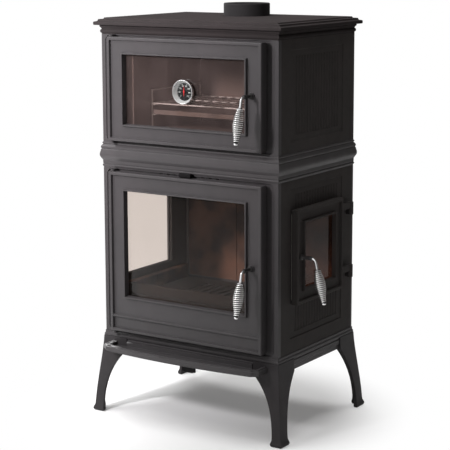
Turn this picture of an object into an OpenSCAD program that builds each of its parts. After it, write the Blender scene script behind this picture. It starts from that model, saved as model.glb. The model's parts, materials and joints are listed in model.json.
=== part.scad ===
// Cast iron wood-burning cooker: a firebox with a glazed front door, a glazed
// side door and a fixed side window, an oven with a glazed door above it, and
// a flue collar on top.  Millimetres, +Z up.  The stove faces -Y and its
// glazed side door is on +X.  The floor is z = 0.

/* [Body] */
// Width of the cast body
body_w = 650; // [600:5:720]
// Depth of the cast body
body_d = 460; // [430:5:520]
// Height of the base casting's underside above the floor
leg_h = 212; // [175:1:250]
// Height of the base casting
base_h = 55; // [50:1:65]
// Height of the firebox casing
lower_h = 532; // [500:1:620]
// Height of the middle cornice
mid_h = 83; // [79:1:96]
// Height of the oven casing
upper_h = 339; // [320:1:410]
// Height of the top plate with its moulding
top_h = 51; // [50:1:64]

/* [Castings] */
// Thickness of the front frames
front_t = 16; // [14:1:20]
// Thickness of the side panels
side_t = 10; // [9:1:14]
// Thickness of the back panels
back_t = 8; // [6:1:12]
// Thickness of the base, middle and top plates
plate_t = 8; // [6:1:12]
// Thickness of the walls under the mouldings
skirt_t = 12; // [10:1:16]
// Number of flutes on each side panel
flutes = 16; // [8:1:20]
// Radius of the tool that cuts a flute
flute_r = 8; // [6:0.5:10]

/* [Front doors] */
// Bare casing beside each front door
door_margin = 41; // [34:1:50]
// How far the front doors stand out from the body
door_proud = 30; // [26:1:36]
// Gap under the firebox door
fire_door_gap = 10; // [9:0.5:14]
// Gap under the oven door
oven_door_gap = 8; // [7.5:0.5:12]
// Gap over both front doors
door_top_gap = 7; // [6.5:0.5:12]
// Width of the front doors' borders beside the glass
door_stile = 54; // [50:1:64]
// Width of the oven door's borders over and under the glass
oven_rail = 48; // [42:1:60]
// Width of the firebox door's border over the glass
fire_rail = 53; // [42:1:60]
// Height of the firebox door's band under the glass
fire_band = 111; // [96:1:125]
// How far the front doors overlap their openings
door_lap = 18; // [16:1:22]

/* [Side door] */
// Width of the side door
side_door_w = 282; // [260:2:300]
// Height of the side door
side_door_h = 291; // [260:1:320]
// How far the side door's middle lies in front of the body's middle
side_door_fore = 16; // [10:1:22]
// Height of the side door's lower edge over the base
side_door_up = 152; // [135:1:165]
// How far the side door stands out from the body
side_door_proud = 25; // [22:1:30]
// Width of the side door's upright borders
side_stile = 42; // [38:1:50]
// Width of the side door's level borders
side_rail = 38; // [34:1:46]
// How far the side door overlaps its opening
side_lap = 12; // [11:1:15]

/* [Door section] */
// Width of a door's raised rim
rim_w = 10; // [7:0.5:12]
// Width of the raised bead round the glass
bead_w = 5; // [4:0.5:7]
// Depth of the panel between rim and bead
panel_dp = 9; // [6:0.5:10]
// Gap between a shut door and the body's face
door_gap = 3; // [2.5:0.5:4]
// Thickness of the glass
glass_t = 4; // [3:0.5:5]
// How far the glass runs under the bead all round
glass_lap = 12; // [9:1:14]

/* [Side window] */
// Width of the fixed window's opening
pane_w = 265; // [200:5:280]
// Height of the fixed window's opening
pane_h = 285; // [200:5:290]
// Height of that opening's lower edge over the base
pane_up = 160; // [150:1:175]

/* [Handles] */
// Radius of the handle's stem
stem_r = 5; // [4:0.5:6]
// Radius of the bent rod between stem and coil
rod_r = 4; // [3.5:0.1:4.5]
// Straight length of the stem in front of the door
stem_len = 33; // [28:1:45]
// Bend radius of the handle
bend_r = 16; // [12:1:22]
// Lean of the grip away from the door
grip_lean = 13; // [8:1:20]
// Drop from the stem to the top of the coil
grip_drop = 36; // [32:1:46]
// Length of the coil
coil_len = 96; // [84:1:110]
// Number of curls in the coil
coil_curls = 16; // [10:1:17]
// Radius of the coil's wire
wire_r = 2.1; // [1.6:0.1:2.3]
// Radius to the wire's middle at the top of the coil
coil_top_r = 8.6; // [8:0.1:10]
// Radius to the wire's middle at the fullest part of the coil
coil_mid_r = 14.2; // [11:0.1:15]
// Radius to the wire's middle at the foot of the coil
coil_foot_r = 6.6; // [6:0.1:8]
// Radius of the core inside the coil
core_r = 3; // [2.5:0.1:3.2]

/* [Flue] */
// Outer radius of the flue collar
collar_r = 74; // [60:1:80]
// Wall of the flue collar
collar_wall = 8; // [6:0.5:10]
// Height of the flue collar
collar_h = 40; // [34:1:60]
// Distance of the flue from the body's middle
flue_back = 107.5; // [95:0.5:112]

/* [Thermometer] */
// Radius of the thermometer's bezel
dial_case_r = 37.5; // [32:0.5:42]
// Radius of the thermometer's dial
dial_r = 26.5; // [22:0.5:28]
// Height of the thermometer's middle over the oven glass's middle
dial_up = 4; // [0:1:12]

/* [Ash lip] */
// Half width of the ash lip
lip_half = 292; // [250:1:300]
// Reach of the ash lip at its ends
lip_reach = 72; // [50:1:80]
// Extra reach of the ash lip at its middle
lip_bow = 17; // [6:1:20]
// Height of the ash lip
lip_h = 20; // [16:1:24]

/* [Hidden] */

$fn = 48;
seat = 0.3;
turn_clear = 0.05;
cut = 1;

// Heights of the joints between the castings
z_base = leg_h;
z_low = z_base + base_h;
z_mid = z_low + lower_h;
z_up = z_mid + mid_h;
z_top = z_up + upper_h;
z_end = z_top + top_h;

// Faces of the body
half_w = body_w / 2;
half_d = body_d / 2;
front_y = -half_d;
frame_back_y = front_y + front_t;
panel_front_y = frame_back_y;
panel_back_y = half_d - back_t;
inner_x = half_w - side_t;

// Front doors
door_w = body_w - 2 * door_margin;
door_t = door_proud - door_gap;
door_face_y = front_y - door_proud;
fire_z = z_low + fire_door_gap;
fire_h = lower_h - fire_door_gap - door_top_gap - 0.5;
oven_z = z_up + oven_door_gap;
oven_h = upper_h - oven_door_gap - door_top_gap + 1;
open_half = door_w / 2 - door_lap;
// Depth of the glass's rebate in a door's back
rebate_dp = 8;

// Mouldings: [overhang, height] pairs from the lower edge up
function roll(z0, h, bulge, n = 8) =
  [for (i = [0:n]) [bulge * sin(180 * i / n), z0 + h * (1 - cos(180 * i / n)) / 2]];
base_profile = [[0, 0], [0, 14], [3, 17], [3, 30], [1, 32], [1, 34], [4, 36], [4.6, 41],
  [4, 45], [2, 47], [2, base_h]];
mid_top = mid_h - 82;
mid_profile = concat([[0, 0]], roll(3, 8, 2.6), [[1.5, 13], [1.5, 23], [6.2, 31], [8.2, 35],
  [9, 40], [8.6, 46], [7, 52], [6.2, 57], [4.4, 59], [4.4, 61], [6.2, 62], [6.2, 66 + mid_top],
  [1.6, 73 + mid_top]], roll(74 + mid_top, 7, 2.6), [[0, mid_h]]);
top_rise = top_h - 53;
top_profile = concat([[0, 0]], roll(3, 12, 3.8), [[1.6, 19], [5, 23], [5, 28], [17.5, 28],
  [19, 30], [19, 39 + top_rise], [17.5, 40.5 + top_rise], [11, 42 + top_rise],
  [9, 43.5 + top_rise], [8, 48 + top_rise], [-4, 49 + top_rise], [-6, 53 + top_rise]]);

// Legs
block_reach = 5.5;
block_h = 38;
block_w = 86;
block_t = 9;
foot_reach = 34;

// Handle geometry, measured out from the door's face and down from the stem
bend_turn = 90 - grip_lean;
grip_top_out = stem_len + bend_r * sin(bend_turn)
  + (grip_drop - bend_r * (1 - cos(bend_turn))) * tan(grip_lean);
rod_len = (grip_drop - bend_r * (1 - cos(bend_turn))) / cos(grip_lean);
grip_foot_out = grip_top_out + coil_len * tan(grip_lean);
collar_disc_t = 3;
nut_h = 6;
nut_r = 7.5;
nut_taper = 1.5;
handle_reach = grip_foot_out + max(nut_r * cos(grip_lean),
  nut_h * sin(grip_lean) + (nut_r - nut_taper) * cos(grip_lean));

// The whole object's outline, which puts the origin under its middle
reach_right = half_w + side_door_proud + handle_reach;
reach_left = half_w + foot_reach;
reach_front = half_d + door_proud + handle_reach;
reach_back = half_d + foot_reach;
shift_x = -(reach_right - reach_left) / 2;
shift_y = (reach_front - reach_back) / 2;
module placed() translate([shift_x, shift_y, 0]) children();

// ---------- shared shapes ----------

// A block with a moulded edge, mitred at its corners
module moulded_block(w, d, profile) {
  n = len(profile);
  intersection() {
    rotate([90, 0, 90])
      linear_extrude(w + 100, center = true)
        polygon(concat([for (p = profile) [d / 2 + p[0], p[1]]],
          [for (i = [n - 1:-1:0]) [-d / 2 - profile[i][0], profile[i][1]]]));
    rotate([90, 0, 0])
      linear_extrude(d + 100, center = true)
        polygon(concat([for (p = profile) [w / 2 + p[0], p[1]]],
          [for (i = [n - 1:-1:0]) [-w / 2 - profile[i][0], profile[i][1]]]));
  }
}

// A block centred on X and Z whose sides slope from one size at y1 to another at y2
module sloped_block(w1, h1, y1, w2, h2, y2) {
  intersection() {
    linear_extrude(max(h1, h2) + 2, center = true)
      polygon([[-w1 / 2, y1], [w1 / 2, y1], [w2 / 2, y2], [-w2 / 2, y2]]);
    rotate([90, 0, 90])
      linear_extrude(max(w1, w2) + 2, center = true)
        polygon([[y1, -h1 / 2], [y1, h1 / 2], [y2, h2 / 2], [y2, -h2 / 2]]);
  }
}

// A slab with chamfered edges round its front, from y = 0 inwards
module chamfered_slab(w, h, t, c) {
  intersection() {
    linear_extrude(h, center = true)
      polygon([[-w / 2, t], [-w / 2, c], [c - w / 2, 0], [w / 2 - c, 0], [w / 2, c], [w / 2, t]]);
    rotate([90, 0, 90])
      linear_extrude(w, center = true)
        polygon([[t, -h / 2], [c, -h / 2], [0, c - h / 2], [0, h / 2 - c], [c, h / 2],
          [t, h / 2]]);
  }
}

module box(low, high) {
  translate(low) cube(high - low);
}

// A rounded rectangle, centred
module rounded_rect(w, h, r) {
  square([w - 2 * r, h], center = true);
  square([w, h - 2 * r], center = true);
  for (x = [-1, 1], y = [-1, 1])
    translate([x * (w / 2 - r), y * (h / 2 - r)])
      circle(r = r);
}

module y_rod(r, y1, y2) {
  translate([0, y1, 0])
    rotate([-90, 0, 0])
      cylinder(r = r, h = y2 - y1);
}

// Bezier curve through four control points, in n steps
function bezier(a, b, c, d, n) =
  [for (i = [0:n]) let (t = i / n, s = 1 - t)
    s * s * s * a + 3 * s * s * t * b + 3 * s * t * t * c + t * t * t * d];

// ---------- casing ----------

// Air slots in a row, the same in a plate and in the slide that covers them
slot_pitch = 26;
slot_w = 12;
module air_slots(y, z1, z2, inner = 0, outer = 3) {
  for (i = [-outer:outer])
    if (abs(i) >= inner)
      box([i * slot_pitch - slot_w / 2, y[0], z1], [i * slot_pitch + slot_w / 2, y[1], z2]);
}

// Room in the base's corner for a leg's block
module leg_notch(sx, sy) {
  lap = block_t - block_reach + seat;
  mirror([sx < 0 ? 1 : 0, 0, 0])
    mirror([0, sy < 0 ? 1 : 0, 0]) {
      box([half_w - lap, half_d - block_w - seat, z_base - cut],
        [half_w + 20, half_d + 20, z_base + block_h + seat]);
      box([half_w - block_w - seat, half_d - lap, z_base - cut],
        [half_w + 20, half_d + 20, z_base + block_h + seat]);
    }
}

module base_rails() {
  // Two rails for the ash pan
  for (s = [-1, 1])
    box([s * pan_half * 0.8 - 6, pan_y[0], z_low - 1], [s * pan_half * 0.8 + 6, pan_y[1],
      pan_z - seat]);
}

module base_casting() {
  color("#3a3839")
    difference() {
      union() {
        difference() {
          translate([0, 0, z_base])
            moulded_block(body_w, body_d, base_profile);
          box([skirt_t - half_w, skirt_t - half_d, z_base - cut],
            [half_w - skirt_t, half_d - skirt_t, z_low - plate_t]);
        }
        base_rails();
      }
      for (sx = [-1, 1], sy = [-1, 1]) {
        leg_notch(sx, sy);
        for (c = [leg_bolt_place(sx, sy, 0), leg_bolt_place(sx, sy, 1)])
          placed_bolt_hole(c);
        translate([sx * tie_x, sy * tie_y, z_low - plate_t - cut])
          cylinder(r = tie_r + 0.4, h = plate_t + 2 * cut);
      }
      air_slots([-170, -110], z_low - plate_t - cut, z_low + cut);
      at_slide_bolts()
        y_rod(leg_bolt_r + turn_clear, -cut, slide_bolt_len + seat);
      for (s = [-1, 1])
        lip_bolt_at(s)
          y_rod(leg_bolt_r + turn_clear, -cut, lip_bolt_len + seat);
    }
}

// Leg bolts run out through the skirt into the leg's block:
// [x, y, z, turn about Z]
leg_bolt_in = 44;
leg_bolt_r = 4;
function leg_bolt_place(sx, sy, side) = side == 0
  ? [sx * (half_w - leg_bolt_in), sy * (half_d - skirt_t), z_base + block_h / 2, sy > 0 ? 0 : 180]
  : [sx * (half_w - skirt_t), sy * (half_d - leg_bolt_in), z_base + block_h / 2,
    sx > 0 ? -90 : 90];
leg_bolt_len = skirt_t + block_reach - 2.5;

module placed_bolt_hole(c) {
  translate([c[0], c[1], c[2]])
    rotate([0, 0, c[3]])
      y_rod(leg_bolt_r + turn_clear, -cut, leg_bolt_len + seat);
}

module hex_bolt(r, len, head) {
  y_rod(r, 0, len);
  translate([0, -head, 0])
    rotate([-90, 0, 0])
      cylinder(r = r * 1.85, h = head, $fn = 6);
}

lip_bolt_len = skirt_t + 3 + 4;
module lip_bolt_at(s) {
  translate([s * lip_half * 0.45, skirt_t - half_d, lip_z + 11])
    rotate([0, 0, 180])
      children();
}

// The legs' bolts, the ash lip's two, the flue collar's three and the four
// shouldered ones that the lower air slide hangs on
module casting_bolts() {
  color("#55524f") {
    for (sx = [-1, 1], sy = [-1, 1], side = [0, 1]) {
      c = leg_bolt_place(sx, sy, side);
      translate([c[0], c[1], c[2]])
        rotate([0, 0, c[3]])
          hex_bolt(leg_bolt_r, leg_bolt_len, 5);
    }
    for (s = [-1, 1])
      lip_bolt_at(s)
        hex_bolt(leg_bolt_r, lip_bolt_len, 5);
    at_slide_bolts()
      hex_bolt(leg_bolt_r, slide_bolt_len, 3);
    for (a = [30, 150, 270])
      flue_at(z_end - plate_t)
        rotate([0, 0, a])
          translate([collar_bolt_ring, 0, 0])
            rotate([90, 0, 0])
              hex_bolt(collar_bolt_r, collar_bolt_len, 4);
  }
}

// A leg's outlines seen square on: [distance out from the body's face, height].
// Each leg is an angle in section; heel is how far its ankle runs inwards.
foot_h = 20;
ankle_out = foot_reach - 6;
front_heel = 5;
side_heel = 13;
function leg_outer(inset) =
  [for (p = bezier([block_reach, z_base + block_h], [8, 0.9 * z_base],
    [ankle_out - 5, 0.5 * z_base], [ankle_out, foot_h + 10], 8)) [p[0] - inset, p[1]]];
function leg_foot(heel) = [[ankle_out + 1, foot_h], [foot_reach - 1.5, foot_h - 8],
  [foot_reach, foot_h - 12], [foot_reach - 1, 3], [foot_reach - 4, 0], [1 - heel, 0],
  [-heel - 2, 3], [-heel - 3, foot_h - 12], [-heel, foot_h]];
function leg_inner(heel) = bezier([-heel, foot_h + 10], [-heel - 3, 0.5 * z_base],
  [-1.5 * heel - 25, 0.78 * z_base], [-block_w, z_base], 10);
function leg_outline(heel) =
  concat(leg_outer(0), leg_foot(heel), leg_inner(heel), [[-block_w, z_base + block_h]]);
leg_core = concat(leg_outer(block_t), [[ankle_out - block_t, -cut], [-140, -cut],
  [-140, z_base + block_h + cut], [block_reach - block_t, z_base + block_h + cut]]);

// Two outlines crossing at the corner: a is seen from the front, b from the side
module leg_prism(a, b) {
  intersection() {
    translate([half_w, half_d + 60, 0])
      rotate([90, 0, 0])
        linear_extrude(240)
          polygon(a);
    translate([half_w - 180, half_d, 0])
      rotate([90, 0, 90])
        linear_extrude(240)
          polygon(b);
  }
}

module leg(sx, sy) {
  color("#373536")
    difference() {
      mirror([sx < 0 ? 1 : 0, 0, 0])
        mirror([0, sy < 0 ? 1 : 0, 0])
          difference() {
            leg_prism(leg_outline(front_heel), leg_outline(side_heel));
            leg_prism(leg_core, leg_core);
          }
      for (side = [0, 1])
        placed_bolt_hole(leg_bolt_place(sx, sy, side));
    }
}

// A front frame: a plate with a coved channel round the door and a raised land
// that the door's rope seal meets.  Height h, the door's lower edge at door_z.
cove_reach = 22;
cove_dp = 8;
strip_w = 13;
land_lap = 4;
channel_corner_r = 20;
function cove(n = 5) =
  [for (i = [0:n]) let (a = 90 * i / n)
    [cove_reach * (1 - cos(a)), cove_dp * sin(a)]];

module front_frame(h, door_z, door_h) {
  land_w = door_w - 2 * land_lap;
  land_h = door_h - 2 * land_lap;
  open_h = door_h - 2 * door_lap;
  mid_z = door_z + door_h / 2;
  edge = half_w - strip_w;
  difference() {
    box([-half_w, front_y, 0], [half_w, frame_back_y, h]);
    difference() {
      translate([0, front_y, 0])
        intersection() {
          translate([0, 0, -cut])
            linear_extrude(h + 2 * cut)
              polygon(concat([[edge, -cut]], [for (p = cove()) [edge - p[0], p[1]]],
                [for (i = [5:-1:0]) [cove()[i][0] - edge, cove()[i][1]]], [[-edge, -cut]]));
          rotate([90, 0, 90])
            linear_extrude(body_w, center = true)
              polygon([[-cut, 2], [0, 2], [cove_dp, 4], [cove_dp, h - 4], [0, h - 2],
                [-cut, h - 2]]);
          translate([0, cove_dp + cut, h / 2])
            rotate([90, 0, 0])
              linear_extrude(cove_dp + 2 * cut)
                rounded_rect(2 * edge, h - 4, channel_corner_r);
        }
      box([-land_w / 2, front_y + 1, mid_z - land_h / 2],
        [land_w / 2, frame_back_y + cut, mid_z + land_h / 2]);
    }
    box([-open_half, front_y - cut, mid_z - open_h / 2],
      [open_half, frame_back_y + cut, mid_z + open_h / 2]);
  }
}

// Hinge pins of the front doors
pin_r = 4;
pin_in = 8;
pin_x = pin_in - door_w / 2;
pin_y = door_face_y + door_t / 2;
pin_into_door = 18;
lug_r = 7;

module hinge_lug(z1, z2) {
  difference() {
    union() {
      translate([pin_x, pin_y, z1])
        cylinder(r = lug_r, h = z2 - z1);
      box([pin_x - lug_r, pin_y, z1], [pin_x + lug_r, front_y + cove_dp + 3, z2]);
    }
    translate([pin_x, pin_y, z1 - cut])
      cylinder(r = pin_r + turn_clear, h = z2 - z1 + 2 * cut);
  }
}

shank_half = 8;
slide_travel = slot_pitch / 2;
notch_half = shank_half + slide_travel + 2;

module lower_front_frame() {
  color("#38363a")
    union() {
      difference() {
        translate([0, 0, z_low])
          front_frame(lower_h, fire_door_gap, fire_h);
        box([-notch_half, front_y - cut, fire_z + fire_h + 0.6],
          [notch_half, frame_back_y + cut, z_mid + cut]);
        air_slots([front_y - cut, frame_back_y + cut], fire_z + fire_h + 0.6, z_mid - 1.8, 2, 4);
      }
      hinge_lug(z_low + seat, fire_z - seat);
      hinge_lug(fire_z + fire_h + seat, z_mid - seat);
    }
}

module upper_front_frame() {
  color("#38363a")
    union() {
      translate([0, 0, z_up])
        front_frame(upper_h, oven_door_gap, oven_h);
      hinge_lug(z_up + seat, oven_z - seat);
      hinge_lug(oven_z + oven_h + seat, z_top - seat);
    }
}

module front_hinge_pins() {
  color("#77746f")
    for (span = [[z_low + seat, fire_z + pin_into_door], [fire_z + fire_h - pin_into_door,
      z_mid - seat], [z_up + seat, oven_z + pin_into_door],
      [oven_z + oven_h - pin_into_door, z_top - seat]])
      translate([pin_x, pin_y, span[0]])
        cylinder(r = pin_r, h = span[1] - span[0]);
}

// Side panels, drawn for +X and mirrored for -X
field_half = body_d / 2 - 71;
field_dp = 2.5;
lower_field = [44, 24];
upper_field = [32, 31];
flute_span = field_half * 2 - 52;
flute_dp = 2.6;
flute_in = 20;

// field holds the bare height under the sunk field and over it
module fluted_panel(z0, h, field) {
  pitch = flute_span / flutes;
  field_h = h - field[0] - field[1];
  difference() {
    box([inner_x, panel_front_y, z0], [half_w, panel_back_y, z0 + h]);
    translate([half_w, 0, z0 + field[0] + field_h / 2])
      rotate([0, 0, 90])
        sloped_block(2 * field_half, field_h, -cut,
          2 * field_half - 2 * field_dp, field_h - 2 * field_dp, field_dp);
    for (i = [0:flutes - 1])
      translate([half_w - field_dp - flute_dp + flute_r, pitch * (i + 0.5) - flute_span / 2,
        z0 + field[0] + flute_in])
        cylinder(r = flute_r, h = field_h - 2 * flute_in);
  }
}

// The side door in the right panel
side_mid_y = -side_door_fore;
side_z = z_low + side_door_up;
side_mid_z = side_z + side_door_h / 2;
land_in = 0.5;

module side_land(w, h, open_w, open_h, mid_y, mid_z) {
  translate([0, mid_y, mid_z])
    difference() {
      box([inner_x, -w / 2, -h / 2], [half_w - land_in, w / 2, h / 2]);
      box([inner_x - cut, -open_w / 2, -open_h / 2], [half_w + cut, open_w / 2, open_h / 2]);
    }
}

brick_ledge_z = z_low + 77;
grate_z = brick_ledge_z + 10;
baffle_z = z_mid - 68;
baffle_front_y = -70;

ledge_back = panel_back_y - 30;

module panel_ledges() {
  box([inner_x - 15, panel_front_y + 14, brick_ledge_z],
    [inner_x, ledge_back, grate_z - seat]);
  box([inner_x - 15, baffle_front_y + 10, baffle_z - 8],
    [inner_x, ledge_back, baffle_z - seat]);
}

module lower_right_panel() {
  ow = side_door_w - 2 * side_lap;
  oh = side_door_h - 2 * side_lap;
  color("#2f2d2e")
    union() {
      difference() {
        fluted_panel(z_low, lower_h, lower_field);
        translate([0, side_mid_y, side_mid_z])
          box([inner_x - cut, -side_door_w / 2 + 2, -side_door_h / 2 + 2],
            [half_w + cut, side_door_w / 2 - 2, side_door_h / 2 - 2]);
      }
      side_land(side_door_w - 4, side_door_h - 4, ow, oh, side_mid_y, side_mid_z);
      panel_ledges();
    }
}

pane_mid_z = z_low + pane_up + pane_h / 2;
window_frame_w = pane_w + 44;
window_frame_h = pane_h + 44;

module lower_left_panel() {
  color("#2f2d2e")
    mirror([1, 0, 0])
      union() {
        difference() {
          fluted_panel(z_low, lower_h, lower_field);
          translate([0, 0, pane_mid_z])
            box([inner_x - cut, -window_frame_w / 2 + 2, -window_frame_h / 2 + 2],
              [half_w + cut, window_frame_w / 2 - 2, window_frame_h / 2 - 2]);
        }
        difference() {
          side_land(window_frame_w - 4, window_frame_h - 4, pane_w - 12, pane_h - 12, 0,
            pane_mid_z);
          for (p = window_screw_places)
            translate([half_w, p[0], pane_mid_z + p[1]])
              rotate([0, 0, 90])
                y_rod(screw_r + turn_clear, -cut, 7);
        }
        panel_ledges();
      }
}

module upper_right_panel() {
  color("#2f2d2e")
    fluted_panel(z_up, upper_h, upper_field);
}

module upper_left_panel() {
  color("#2f2d2e")
    mirror([1, 0, 0])
      fluted_panel(z_up, upper_h, upper_field);
}

module back_panel(z0, h) {
  difference() {
    box([-half_w, panel_back_y, z0], [half_w, half_d, z0 + h]);
    translate([0, half_d, z0 + h / 2])
      rotate([0, 0, 180])
        sloped_block(body_w - 60, h - 60, -cut, body_w - 68, h - 68, 3);
  }
  for (x = [-2:2])
    translate([x * body_w / 6, half_d - 3, z0 + 40])
      box([-4, -cut, 0], [4, 2.5, h - 80]);
}

module lower_back_panel() {
  color("#2c2b2c") {
    back_panel(z_low, lower_h);
    box([-294, ledge_back, fire_floor - 10], [294, panel_back_y + 1, fire_floor]);
    box([-294, ledge_back, fire_floor - 10], [294, ledge_back + 3.5, fire_floor + 8]);
  }
}

module upper_back_panel() {
  color("#2c2b2c")
    back_panel(z_up, upper_h);
}

// Tie rods clamp the castings together at the corners
tie_r = 4;
tie_x = inner_x - 9;
tie_y = half_d - front_t - 8;
tie_top = z_top + 30;

module tie_rods() {
  color("#5c5a58")
    for (sx = [-1, 1], sy = [-1, 1])
      translate([sx * tie_x, sy * tie_y, 0]) {
        translate([0, 0, z_low - plate_t - 8])
          cylinder(r = tie_r, h = tie_top - z_low + plate_t + 8 - 2);
        translate([0, 0, z_low - plate_t - 6.5])
          rotate([0, 0, 30])
            cylinder(r = 7.5, h = 6.5, $fn = 6);
      }
}

web_z = z_mid + 32;
smoke_half = 190;
smoke_y = [118, 200];

module middle_cornice() {
  in_x = half_w - skirt_t;
  in_y = half_d - skirt_t;
  color("#403d40")
    difference() {
      translate([0, 0, z_mid])
        moulded_block(body_w, body_d, mid_profile);
      box([-in_x, -in_y, z_mid - cut], [in_x, in_y, web_z]);
      box([-in_x, -in_y, web_z + plate_t], [in_x, in_y, z_up + cut]);
      box([-smoke_half, smoke_y[0], web_z - cut], [smoke_half, smoke_y[1], web_z + plate_t + cut]);
      for (sx = [-1, 1], sy = [-1, 1])
        translate([sx * tie_x, sy * tie_y, web_z - cut])
          cylinder(r = tie_r + 0.4, h = plate_t + 2 * cut);
    }
}

collar_foot_t = 6;
collar_bolt_r = 3;
collar_bolt_ring = collar_r - collar_wall - 7;
flue_bore = collar_bolt_ring - 7;
collar_bolt_len = collar_foot_t + plate_t - 2;

module flue_at(z) {
  translate([0, flue_back, z])
    children();
}

module top_plate() {
  in_x = half_w - skirt_t - 2;
  in_y = half_d - skirt_t - 2;
  color("#4b484a")
    difference() {
      union() {
        difference() {
          translate([0, 0, z_top])
            moulded_block(body_w, body_d, top_profile);
          box([-in_x, -in_y, z_top - cut], [in_x, in_y, z_end - plate_t]);
        }
        for (sx = [-1, 1], sy = [-1, 1])
          translate([sx * tie_x, sy * tie_y, tie_top - 18])
            cylinder(r = 9, h = z_end - tie_top + 18 - 2);
      }
      for (sx = [-1, 1], sy = [-1, 1])
        translate([sx * tie_x, sy * tie_y, z_top - cut])
          cylinder(r = tie_r + turn_clear, h = tie_top - z_top);
      flue_at(z_end - plate_t - cut)
        cylinder(r = flue_bore, h = plate_t + 2 * cut);
      for (a = [30, 150, 270])
        flue_at(z_end - plate_t - cut)
          rotate([0, 0, a])
            translate([collar_bolt_ring, 0, 0])
              cylinder(r = collar_bolt_r + turn_clear, h = plate_t + 2 * cut);
    }
}

module flue_collar() {
  color("#343235")
    flue_at(z_end)
      difference() {
        rotate_extrude($fn = 96)
          polygon([[flue_bore, 0], [collar_r, 0], [collar_r, collar_h - 3],
            [collar_r - 1.5, collar_h], [collar_r - collar_wall + 1.5, collar_h],
            [collar_r - collar_wall, collar_h - 2], [collar_r - collar_wall, collar_foot_t],
            [flue_bore, collar_foot_t]]);
        for (a = [30, 150, 270])
          rotate([0, 0, a])
            translate([collar_bolt_ring, 0, -cut])
              cylinder(r = collar_bolt_r + turn_clear, h = collar_foot_t + cut - 1.5);
      }
}

// The ash lip, bowed at its front, with a raised rim round a shallow tray
lip_z = z_base + 7;
lip_corner = 19;
function lip_outline(inset) = let (
    half = lip_half - inset,
    flat = half - lip_corner)
  concat([[half, -(lip_reach - lip_corner * 0.9 - inset / 2)]],
    [for (i = [8:-1:-8]) let (s = i / 8)
      [flat * s, -(lip_reach + lip_bow * (1 - s * s) - inset)]],
    [[-half, -(lip_reach - lip_corner * 0.9 - inset / 2)]]);

module lip_plate(inset, back, h) {
  linear_extrude(h)
    polygon(concat([[lip_half - inset, back]], lip_outline(inset), [[inset - lip_half, back]]));
}

module ash_lip() {
  color("#3f3d40")
    difference() {
      translate([0, front_y, lip_z])
        union() {
          translate([0, 0, 4])
            lip_plate(0, -3, lip_h - 7);
          lip_plate(3, -3, 5);
          translate([0, 0, lip_h - 4])
            lip_plate(4, -3, 4);
        }
      translate([0, front_y, lip_z + 6])
        lip_plate(17, -3 - 5, lip_h);
      translate([0, front_y, lip_z + lip_h - 2])
        lip_plate(10, -3 - 5, lip_h);
      for (s = [-1, 1])
        lip_bolt_at(s)
          y_rod(leg_bolt_r + turn_clear, skirt_t, lip_bolt_len + seat);
      for (s = [-1, 1])
        box([s > 0 ? half_w - block_w - 1 : -half_w, front_y - block_reach - 3.2, lip_z - cut],
          [s > 0 ? half_w : block_w + 1 - half_w, front_y, lip_z + lip_h + cut]);
    }
}

// ---------- firebox ----------

pan_half = 190;
pan_y = [frame_back_y + 12, 150];
pan_z = z_low + 30;
pan_h = 50;
sheet = 2;

module open_tray(half, y, z, h, t) {
  difference() {
    box([-half, y[0], z], [half, y[1], z + h]);
    box([t - half, y[0] + t, z + t], [half - t, y[1] - t, z + h + cut]);
  }
}

module ash_pan() {
  color("#4a4846")
    union() {
      open_tray(pan_half, pan_y, pan_z, pan_h, sheet);
      translate([0, pan_y[0], pan_z + pan_h - 20])
        difference() {
          box([-45, -8, 0], [45, 0, 12]);
          box([-40, -6, -cut], [40, -cut / 2, 8]);
        }
    }
}

grate_y = [frame_back_y + 8, panel_back_y - 32];
grate_t = 12;

module grate() {
  color("#34302f")
    difference() {
      box([-inner_x + 1, grate_y[0], grate_z], [inner_x - 1, grate_y[1], grate_z + grate_t]);
      for (i = [-6:6], j = [0, 1])
        box([i * 30 - 7, j == 0 ? -140 : 10, grate_z - cut],
          [i * 30 + 7, j == 0 ? -10 : 140, grate_z + grate_t + cut]);
      for (s = [-1, 1])
        box([s > 0 ? tie_x - 8 : -inner_x, grate_y[0] - cut, grate_z - cut],
          [s > 0 ? inner_x : 8 - tie_x, 8 - tie_y, grate_z + grate_t + cut]);
    }
}

fire_floor = grate_z + grate_t;
guard_half = open_half - 12;
guard_h = 62;

module log_guard() {
  color("#3b3836")
    translate([0, grate_y[0] + 2, fire_floor])
      rotate([90, 0, 90])
        linear_extrude(2 * guard_half, center = true)
          polygon([[0, 0], [22, 0], [22, 5], [12, 8], [12, guard_h - 4], [9, guard_h],
            [2, guard_h], [0, guard_h - 3], [0, 30], [4, 26], [4, 8], [0, 5]]);
}

brick_t = 24;

module fire_bricks() {
  back_y = panel_back_y - 2;
  color("#6e4a38") {
    for (i = [-1, 0, 1])
      box([i * 196 - 97.5, back_y - brick_t, fire_floor + seat],
        [i * 196 + 97.5, back_y, baffle_z + 18]);
    for (s = [-1, 1], j = [0, 1]) {
      y1 = -178 + j * 184;
      box([s > 0 ? inner_x - brick_t - 1 : 1 - inner_x, y1, fire_floor + seat],
        [s > 0 ? inner_x - 1 : brick_t + 1 - inner_x, y1 + 183, fire_floor + 44]);
    }
  }
}

module baffle_plate() {
  color("#7a5a48")
    box([1 - inner_x, baffle_front_y, baffle_z],
      [inner_x - 1, panel_back_y - 2 - brick_t - 0.5, baffle_z + 25]);
}

// ---------- oven ----------

oven_in_half = 215;
oven_in_z = [z_up + 34, z_top - 30];
oven_back_y = half_d - 70;
flange_half = open_half + 10;

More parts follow.
